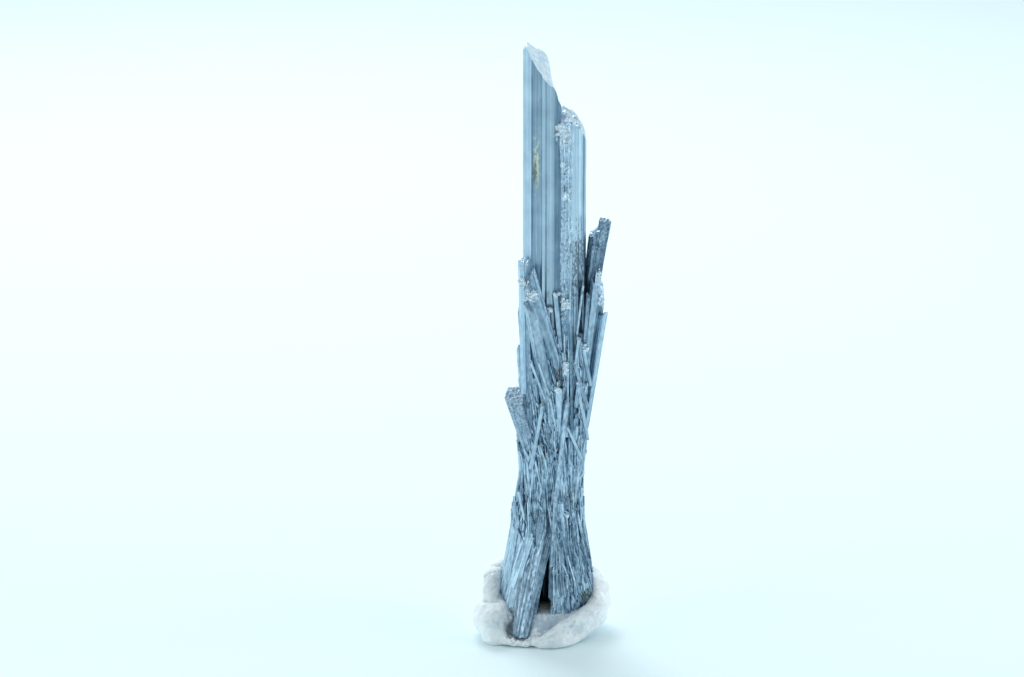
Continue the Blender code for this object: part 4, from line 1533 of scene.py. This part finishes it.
@dataclass(frozen=True)
class BrokenLeaners:
    """The large leaning crystals with granular ends, on both sides of the tall blade.

    A broad side is flat over flat_share of its width. The crumble_span is where the granular length begins
    and where it is full, as shares of a break's crumble below its end.
    """

    breaks: tuple[BigBreak, ...] = (
        BigBreak("leaning_blade", 41, Crystal(
            (2.5, -2.5, 34.0), (-1.85, -2.55, 46.7), 2.4, 1.3, faces=-100, break_slope=55,
            break_towards=-150, root_share=0.5, tone=0.38, fade=0.1,
        ), 2, 0.08, 0.2, 0.3, 0.3),
        BigBreak("left_prong", 42, Crystal(
            (-2.2, -1.5, 30.6), (-2.5, -1.9, 49.1), 1.35, 1.2, faces=-120, break_slope=12, tone=1.2,
        ), 2, 0.1, 0.5, 0.9, 0.7),
        BigBreak("right_crystal", 43, Crystal(
            (3.9, 0.5, 28.0), (6.9, 0.5, 52.6), 2.4, 2.3, faces=-80, break_slope=46, break_towards=190,
            tone=0.02,
        ), 4, 0.18, 0.9, 5.0, 0.5),
        BigBreak("right_knob", 44, Crystal(
            (4.8, 0.4, 36.0), (7.65, 0.2, 53.6), 1.6, 1.6, faces=-80, break_slope=8, break_towards=20,
            tone=0.0,
        ), 2, 0.3, 0.9, 4.2, 0.6),
        BigBreak("right_second", 45, Crystal(
            (5.2, -0.5, 30.0), (7.0, -1.0, 44.8), 1.6, 1.5, faces=-70, break_slope=70,
            break_towards=-40, tone=0.35,
        ), 2, 0.14, 0.9, 0.8, 0.8),
        BigBreak("left_stub", 47, Crystal(
            (-0.9, -1.2, 22.7), (-3.55, -1.6, 31.5), 2.8, 2.3, faces=-105, break_towards=-98,
        ), 3, 0.14, 1.0, 4.6, 0.8),
    )
    step: float = 0.7
    rib_depth: float = 0.16
    striation: float = 0.03
    tone_play: float = 0.15
    flat_share: float = 0.66
    crumble_span: tuple[float, float] = (1.7, 0.4)

    def ribbed_outline(self, item: BigBreak) -> list[Vector]:
        """Returns the outline of a crystal, with a valley between the ribs of each broad side.

        Args:
            item: The crystal and its break.

        Returns:
            The corners, anticlockwise.
        """
        half, thick = item.crystal.width / 2, item.crystal.depth / 2
        steps = 2 * item.ribs - 1
        side = []
        for step in range(steps + 1):
            sunk = self.rib_depth if 0 < step < steps and step % 2 else 0.0
            side.append((half * self.flat_share * (2 * step / steps - 1), thick - sunk))
        corners = [(half, 0.0), *side[::-1], (-half, 0.0), *((across, -out) for across, out in side)]
        return [Vector((across, out, 0.0)) for across, out in corners]

    def crystal(self, item: BigBreak, finish: bpy.types.Material) -> bpy.types.Object:
        """Builds one broken crystal.

        Args:
            item: The crystal and its break.
            finish: Its finish.

        Returns:
            The crystal as a piece.
        """
        shape = item.crystal
        axes = shape.axes()
        root, end = Vector(shape.root), Vector(shape.end)
        broken = BrokenCrystal(item.name, item.seed, root, axes)
        length = (end - root).length
        slope = math.tan(math.radians(shape.break_slope))
        fall = compass(shape.break_towards) * slope
        top = length + shape.width * slope + broken.OVERREACH
        swell = shape.root_share + (1.0 - shape.root_share) * top / length
        outline = self.ribbed_outline(item)
        dice = broken.body.dice
        tones = [shape.tone + dice.uniform(-self.tone_play, self.tone_play) for _ in outline]
        crumble = tuple(length - share * item.crumble for share in self.crumble_span)
        broken.sides(outline, top, self.step, (shape.root_share, swell), self.striation, tones, shape.fade,
                     crumble, item.bright)

        def height(across: float, out: float) -> float:
            """Returns how far along the crystal it is broken there."""
            return length - (axes[0] * across + axes[1] * out).dot(fall)

        wide, deep = shape.width / 2 + broken.CUT_MARGIN, shape.depth / 2 + broken.CUT_MARGIN
        broken.break_off((-wide, wide, -deep, deep), height, item.lumps, item.grit, item.bright)
        return broken.finished(finish)

    def build(self, finish: bpy.types.Material) -> list[bpy.types.Object]:
        """Returns the broken crystals."""
        return [self.crystal(item, finish) for item in self.breaks]


# ---- Putty ---------------------------------------------


@dataclass(frozen=True)
class Dent:
    """A soft push into the putty, or out of it where the depth is negative."""

    middle: Row
    reach: float
    depth: float


@dataclass(frozen=True)
class Crease:
    """A line along which the putty is folded in."""

    points: tuple[Row, ...]
    width: float
    depth: float

    def sunk(self, place: Vector) -> float:
        """Measures the crease.

        Args:
            place: A place on the putty.

        Returns:
            How deep the crease is there.
        """
        deepest = 0.0
        for start, stop in zip(self.points, self.points[1:]):
            if (place - Vector(start)).length > (Vector(stop) - Vector(start)).length + 4 * self.width:
                continue
            nearest, share = intersect_point_line(place, start, stop)
            nearest = Vector(start) if share < 0.0 else Vector(stop) if share > 1.0 else nearest
            away = (place - nearest).length / self.width
            deepest = max(deepest, self.depth * math.exp(-away * away))
        return deepest


@dataclass(frozen=True)
class PuttyBase:
    """The pinched putty: a low cake round a pocket, and the rolls and lumps that are pressed on to it.

    Each row of the wall is an azimuth, the cake's reach and height there, and the ground face's share of
    the reach. The flank goes from the ground face to half height, as shares of the overhang and of the
    height, and the crown from there to the pocket, as shares of the height and of the way in. The notch is
    where the front leg goes through the cake to the ground. The hollow and the ramp are how the cake rises
    to its floor on either side of the leg: the larger the number, the later. Each row of a roll is a place
    along it and its radius there. The octaves are scales and heights.
    """

    sheaf: Sheaf = Sheaf()
    wall: tuple[Row, ...] = (
        (0, 7.4, 4.6, 0.80), (30, 8.3, 7.3, 0.78), (60, 8.05, 7.3, 0.80), (90, 7.6, 6.6, 0.84),
        (120, 7.8, 7.4, 0.84), (150, 7.7, 8.0, 0.86), (172, 7.4, 7.8, 0.86), (190, 7.2, 6.2, 0.88),
        (205, 7.0, 4.8, 0.90), (216, 6.9, 3.2, 0.92), (222, 6.9, 1.2, 0.94), (228, 6.9, 0.8, 0.96),
        (263, 6.9, 0.7, 0.96), (270, 6.8, 0.8, 0.95), (285, 6.6, 1.0, 0.92), (300, 6.4, 1.3, 0.90),
        (320, 6.6, 2.1, 0.86), (340, 7.0, 3.3, 0.82), (360, 7.4, 4.6, 0.80),
    )
    steps: int = 72
    floor: float = Sheaf.foot
    clearance: float = 0.05
    ground_ring: float = 0.6
    flank: tuple[Row, ...] = ((0.0, 0.0), (0.25, 0.04), (0.75, 0.25), (1.0, 0.5))
    crown: tuple[Row, ...] = ((0.8, 0.06), (0.97, 0.26), (1.03, 0.52), (1.0, 0.8))
    pocket_lip: tuple[Row, ...] = ((0.12, 0.1), (0.5, 0.0), (0.9, 0.0))
    notch_lip: Row = (1.8, 0.2, 0.8)
    floor_rings: Row = (0.5, 2.0)
    notch: tuple[float, float] = (230.0, 251.0)
    notch_reach: float = 4.15
    hollow: float = 4.0
    ramp: float = 1.5
    rolls: tuple[tuple[Row, ...], ...] = (
        ((-3.0, 5.9, 6.2, 1.5), (-5.2, 3.8, 6.9, 1.55), (-6.15, 1.4, 7.1, 1.35), (-6.4, -0.2, 6.8, 1.35),
         (-6.6, -1.4, 5.9, 1.25), (-6.6, -2.4, 5.0, 1.0)),
        ((-6.5, -3.2, 3.3, 1.5), (-5.2, -3.95, 3.1, 1.15), (-4.5, -4.3, 2.9, 0.85)),
        ((-2.1, -7.05, 0.5, 0.42), (-0.9, -7.15, 0.75, 0.5), (0.2, -7.15, 1.05, 0.68),
         (1.2, -6.95, 1.5, 0.9), (2.4, -6.5, 2.1, 1.1), (3.5, -5.9, 2.5, 1.15), (5.0, -4.75, 2.85, 1.25),
         (6.3, -3.2, 3.3, 1.35), (7.2, -0.9, 4.0, 1.4), (7.2, 1.3, 4.9, 1.4), (6.5, 3.4, 5.7, 1.35),
         (5.2, 5.2, 5.9, 1.35)),
        ((-0.4, -7.1, 0.5, 0.6), (0.9, -7.2, 0.85, 0.95), (2.2, -6.8, 1.1, 1.2), (3.4, -6.0, 1.25, 1.3),
         (4.6, -4.7, 1.5, 1.35), (5.7, -3.2, 2.0, 1.4), (6.8, -1.6, 2.5, 1.5), (7.2, 0.6, 3.4, 1.5)),
        ((-5.4, -5.9, 0.9, 0.8), (-4.4, -6.6, 0.6, 0.5), (-3.2, -6.95, 0.5, 0.42),
         (-2.1, -7.05, 0.5, 0.42)),
    )
    bulges: tuple[tuple[Row, Row], ...] = (
        ((-6.35, -2.9, 2.6), (2.55, 3.6, 2.5)),
        ((-5.9, -4.1, 0.9), (2.0, 2.6, 2.0)),
    )
    bead_step: float = 0.3
    voxel: float = 0.14
    smoothings: int = 7
    uneven_octaves: tuple[tuple[float, float], ...] = ((0.5, 0.14), (1.2, 0.07), (3.1, 0.03))
    wrinkle_spacing: float = 0.7
    wrinkle_sharpness: float = 9.0
    wrinkle_depth: float = 0.08
    crumbled_arc: Row = (232.0, 240.0, 258.0, 268.0)
    crumbled_reach: Row = (6.2, 6.7)
    crumb_octaves: tuple[tuple[float, float], ...] = ((2.4, 0.28), (5.3, 0.18))
    loose_above: Row = (0.02, 0.5)
    dents: tuple[Dent, ...] = (
        Dent((-7.4, 3.4, 8.6), 1.6, 0.35),
        Dent((-7.9, -0.6, 5.6), 1.2, 0.25),
        Dent((-7.6, -4.6, 3.4), 1.5, 0.2),
        Dent((-8.2, -1.0, 2.6), 1.6, -0.2),
        Dent((4.1, -7.0, 2.3), 1.0, 0.5),
        Dent((5.9, -5.6, 2.2), 1.3, 0.3),
        Dent((2.2, -7.9, 1.8), 0.9, -0.12),
        Dent((8.2, -0.6, 5.6), 1.5, 0.25),
        Dent((5.4, 6.6, 6.6), 2.0, 0.4),
        Dent((-2.2, 8.2, 6.4), 2.2, 0.45),
        Dent((-6.2, 5.8, 7.8), 1.8, 0.35),
        Dent((0.6, 7.6, 3.0), 2.0, -0.2),
        Dent((-4.4, -5.2, 1.6), 0.8, 0.4),
        Dent((1.2, -5.4, 1.6), 1.3, 0.35),
    )
    creases: tuple[Crease, ...] = (
        Crease(((-7.5, -0.9, 7.4), (-6.4, -1.1, 8.0), (-5.4, -0.9, 7.9)), 0.15, 0.32),
        Crease(((-6.1, -1.2, 8.0), (-5.4, -2.0, 7.0), (-5.1, -2.6, 6.2)), 0.15, 0.3),
        Crease(((-8.7, -1.4, 4.6), (-7.9, -2.9, 4.9), (-6.6, -3.7, 4.9), (-5.4, -3.4, 4.9)), 0.22, 0.32),
        Crease(((6.2, -4.8, 4.4), (7.0, -3.9, 4.9), (7.8, -3.2, 4.0)), 0.13, 0.28),
        Crease(((6.9, -4.4, 3.6), (7.6, -3.6, 3.9)), 0.11, 0.2),
        Crease(((-0.4, -7.6, 1.2), (1.0, -7.75, 1.7), (2.3, -7.45, 2.3), (3.5, -6.9, 2.7)), 0.24, 0.3),
        Crease(((0.4, -7.5, 1.5), (1.5, -7.3, 2.2), (2.7, -6.9, 2.85), (3.8, -6.3, 3.2)), 0.2, -0.16),
        Crease(((3.0, -7.6, 1.2), (4.2, -6.9, 1.8), (5.4, -5.7, 2.4), (6.4, -4.6, 3.0)), 0.34, 0.26),
        Crease(((4.6, -6.5, 3.3), (5.2, -6.3, 2.4), (5.4, -6.4, 1.4)), 0.25, 0.2),
        Crease(((2.2, 7.4, 5.4), (0.6, 8.2, 3.6), (-1.6, 8.2, 3.0)), 0.2, 0.22),
        Crease(((-7.6, 4.6, 4.6), (-6.0, 6.3, 4.9), (-4.0, 7.4, 4.2)), 0.18, 0.22),
    )

    def section(self, azimuth: float) -> list[Vector]:
        """Returns the cake's section.

        Args:
            azimuth: Where round the cake it is taken.

        Returns:
            Its places, from under the cake, up the outside, over the crown and into the pocket.
        """
        reach, height, ground_share = between(self.wall, azimuth)
        in_notch = self.notch[0] < azimuth < self.notch[1]
        way = compass(azimuth)

        def outside(share: float, rise: float) -> Vector:
            """Returns a place on the outside, from shares of the reach and of the height."""
            return way * reach * share + UP * height * rise

        def inside(level: float, spare: float = 0.0) -> Vector:
            """Returns a place on the pocket's wall at a height, with room to spare."""
            if in_notch:
                return way * (self.notch_reach + spare) + UP * level
            return self.sheaf.point(level, azimuth, -self.clearance - spare)

        top = max(height, self.floor)
        bend = self.hollow if azimuth < self.notch[1] else self.ramp
        crest = inside(height if in_notch else top)

        def slope(rise: float, share: float) -> Vector:
            """Returns a place on the crown, a share of the way from the outside to the pocket."""
            place = outside(1.0, rise).lerp(crest, share)
            if height < self.floor:
                place.z = height * rise + (crest.z - height * rise) * share ** bend
            return place

        if in_notch:
            wide, spare, rise = self.notch_lip
            lip = [inside(height, wide), inside(height, spare), inside(height + rise)]
        else:
            lip = [inside(top + (self.floor - top) * drop, spare) for drop, spare in self.pocket_lip]
        return [
            outside(ground_share * self.ground_ring, 0.0),
            *(outside(ground_share + (1 - ground_share) * share, rise) for share, rise in self.flank),
            *(slope(rise, share) for rise, share in self.crown),
            *lip,
            *(inside(self.floor, -spare) for spare in self.floor_rings),
        ]

    def cake(self) -> bmesh.types.BMesh:
        """Returns the low cake, closed under the ground face and over the floor."""
        putty = bmesh.new()
        sections = [self.section(360.0 * step / self.steps) for step in range(self.steps)]
        rings = list(zip(*sections))
        ring = first_ring(putty, rings[0])
        bmesh.ops.contextual_create(putty, geom=rim_of(putty, ring))
        for places in rings[1:]:
            ring, _ = next_ring(putty, ring, places)
        bmesh.ops.contextual_create(putty, geom=rim_of(putty, ring))
        bmesh.ops.recalc_face_normals(putty, faces=putty.faces)
        return putty

    def press_on(self, putty: bmesh.types.BMesh) -> None:
        """Adds the rolls, as rows of beads, and the bulges.

        Args:
            putty: The cake that they are pressed on to, in millimetres.
        """
        for roll in self.rolls:
            for start, stop in zip(roll, roll[1:]):
                beads = math.ceil((Vector(stop[:3]) - Vector(start[:3])).length / self.bead_step)
                for bead in range(beads + 1):
                    row = Vector(start).lerp(Vector(stop), bead / beads)
                    seat = Matrix.Translation(row.to_3d())
                    bmesh.ops.create_icosphere(putty, subdivisions=3, radius=row.w, matrix=seat)
        for middle, radii in self.bulges:
            seat = Matrix.LocRotScale(Vector(middle), None, Vector(radii))
            bmesh.ops.create_icosphere(putty, subdivisions=4, radius=1.0, matrix=seat)

    def sculpt(self, mesh: bmesh.types.BMesh) -> None:
        """Presses the dents, creases and small unevenness into the smoothed putty.

        Args:
            mesh: The putty, in millimetres.
        """
        mesh.normal_update()
        moves = []
        for vert in mesh.verts:
            place, normal = vert.co.copy(), vert.normal.copy()
            azimuth = math.degrees(math.atan2(place.y, place.x)) % 360.0
            push = rumple(place, self.uneven_octaves)
            fold = abs(noise.noise(place * self.wrinkle_spacing + UP * 9.0)) * self.wrinkle_sharpness
            wrinkle = 1.0 - min(1.0, fold)
            push -= self.wrinkle_depth * wrinkle * wrinkle
            for dent in self.dents:
                away = (place - Vector(dent.middle)).length / dent.reach
                push -= dent.depth * math.exp(-away * away)
            for crease in self.creases:
                push -= crease.sunk(place)
            crumble = smooth_share(azimuth, *self.crumbled_arc[:2])
            crumble *= 1.0 - smooth_share(azimuth, *self.crumbled_arc[2:])
            crumble *= smooth_share(place.to_2d().length, *self.crumbled_reach)
            push += crumble * rumple(place, self.crumb_octaves)
            moves.append(normal * push * smooth_share(place.z, *self.loose_above))
        for vert, move in zip(mesh.verts, moves):
            vert.co += move
            vert.co.z = max(vert.co.z, 0.0)

    def build(self, finish: bpy.types.Material) -> bpy.types.Object:
        """Builds the putty.

        Args:
            finish: Its finish.

        Returns:
            The putty as a piece.
        """
        putty = self.cake()
        self.press_on(putty)
        rough = finished_piece("putty_lumps", putty, finish)
        blend = rough.modifiers.new("blended", "REMESH")
        blend.mode = "VOXEL"
        blend.voxel_size = self.voxel
        mesh = bmesh.new()
        mesh.from_object(rough, bpy.context.evaluated_depsgraph_get())
        bpy.data.objects.remove(rough)
        axes = {"use_axis_x": True, "use_axis_y": True, "use_axis_z": True}
        for _ in range(self.smoothings):
            bmesh.ops.smooth_vert(mesh, verts=mesh.verts, factor=0.5, **axes)
        self.sculpt(mesh)
        bmesh.ops.scale(mesh, vec=(MM, MM, MM), verts=mesh.verts)
        piece = finished_piece("pinched_putty", mesh, finish)
        piece.data.shade_smooth()
        return piece


# ---- Studio --------------------------------------------


@dataclass(frozen=True)
class SoftBox:
    """A soft square light, its place and what it looks at in millimetres."""

    name: str
    place: Row
    target: Row
    side: float
    power: float
    colour: Colour = (0.93, 0.98, 1.0)


@dataclass(frozen=True)
class Studio:
    """The pale sweep, the soft lights round it and the camera."""

    floor_side: float = 6.0
    sky_colour: Colour = (0.88, 1.0, 1.05)
    sky_range: tuple[float, float] = (-0.9, 0.3)
    sky_strengths: tuple[float, float] = (0.3, 0.9)
    soft_boxes: tuple[SoftBox, ...] = (
        SoftBox("back_left_softbox", (-95.0, 330.0, 400.0), (0.0, 0.0, 30.0), 220.0, 1.1),
        SoftBox("left_softbox", (-420.0, -160.0, 150.0), (0.0, 0.0, 40.0), 260.0, 0.36),
        SoftBox("right_softbox", (420.0, -60.0, 170.0), (0.0, 0.0, 40.0), 260.0, 0.45),
    )
    camera_place: Row = (-3.9, -432.6, 162.5)
    camera_target: Row = (-3.9, 0.0, 38.5)
    camera_lens: float = 126.6
    sensor_width: float = 36.0

    @staticmethod
    def look(thing: bpy.types.Object, place: Row, target: Row) -> None:
        """Puts a camera or a light in its place and turns it to its target."""
        thing.location = Vector(place) * MM
        thing.rotation_euler = (Vector(target) - Vector(place)).to_track_quat("-Z", "Y").to_euler()

    def floor(self) -> None:
        """Lays the surface that the putty rests on."""
        mesh = bmesh.new()
        bmesh.ops.create_grid(mesh, x_segments=8, y_segments=8, size=self.floor_side / 2)
        finished_piece("studio_surface", mesh, FloorFinish().material())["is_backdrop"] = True

    def sky(self) -> None:
        """Sets a pale light from all round, dimmer from the front."""
        world = bpy.data.worlds.new("pale_tent")
        world.use_nodes = True
        tree = world.node_tree
        background = tree.nodes["Background"]
        background.inputs["Color"].default_value = (*self.sky_colour, 1.0)
        axes = tree.nodes.new("ShaderNodeSeparateXYZ")
        tree.links.new(tree.nodes.new("ShaderNodeTexCoord").outputs["Generated"], axes.inputs["Vector"])
        strength = tree.nodes.new("ShaderNodeMapRange")
        tree.links.new(axes.outputs["Y"], strength.inputs["Value"])
        for name, number in zip(RANGE_ENDS, (*self.sky_range, *self.sky_strengths)):
            strength.inputs[name].default_value = number
        tree.links.new(strength.outputs["Result"], background.inputs["Strength"])
        bpy.context.scene.world = world

    def lights(self) -> None:
        """Hangs the soft boxes."""
        for box in self.soft_boxes:
            data = bpy.data.lights.new(box.name, "AREA")
            data.size = box.side * MM
            data.energy = box.power
            data.color = box.colour
            lamp = bpy.data.objects.new(box.name, data)
            bpy.context.scene.collection.objects.link(lamp)
            self.look(lamp, box.place, box.target)

    def camera(self) -> None:
        """Sets the camera a little above the crystals' front."""
        data = bpy.data.cameras.new("camera")
        data.lens = self.camera_lens
        data.sensor_width = self.sensor_width
        data.clip_start = 0.01
        camera = bpy.data.objects.new("camera", data)
        bpy.context.scene.collection.objects.link(camera)
        self.look(camera, self.camera_place, self.camera_target)
        bpy.context.scene.camera = camera

    def build(self) -> None:
        """Sets up the whole studio."""
        self.floor()
        self.sky()
        self.lights()
        self.camera()
        bpy.context.scene.view_settings.view_transform = "Standard"


# ---- The whole piece -----------------------------------


def mount(pieces: Iterable[bpy.types.Object], node: str) -> None:
    """Rides finished pieces on the body, in place of the node that they dress.

    Args:
        pieces: The finished pieces.
        node: The frame's node that they stand for.
    """
    for piece in pieces:
        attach(piece, "root")
        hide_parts(node)
        LOG.info("%s: %d faces", piece.name, len(piece.data.polygons))


def main() -> None:
    """Loads the frame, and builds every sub-assembly in order."""
    logging.basicConfig(level=logging.INFO, format="%(name)s %(message)s")
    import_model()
    frame_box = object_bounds()
    Studio().build()
    stibnite = StibniteFinish().material()
    for assembly in (TallBlade(), BrokenLeaners(), LeaningCrystals(), CrystalSheaf()):
        mount(assembly.build(stibnite), SPRAY_NODE)
    mount([PuttyBase().build(PuttyFinish().material())], PUTTY_NODE)
    boxes = {"frame": frame_box, "visual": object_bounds()}
    {name: [list(corner) for corner in box] for name, box in boxes.items()}


if __name__ == "__main__":
    main()
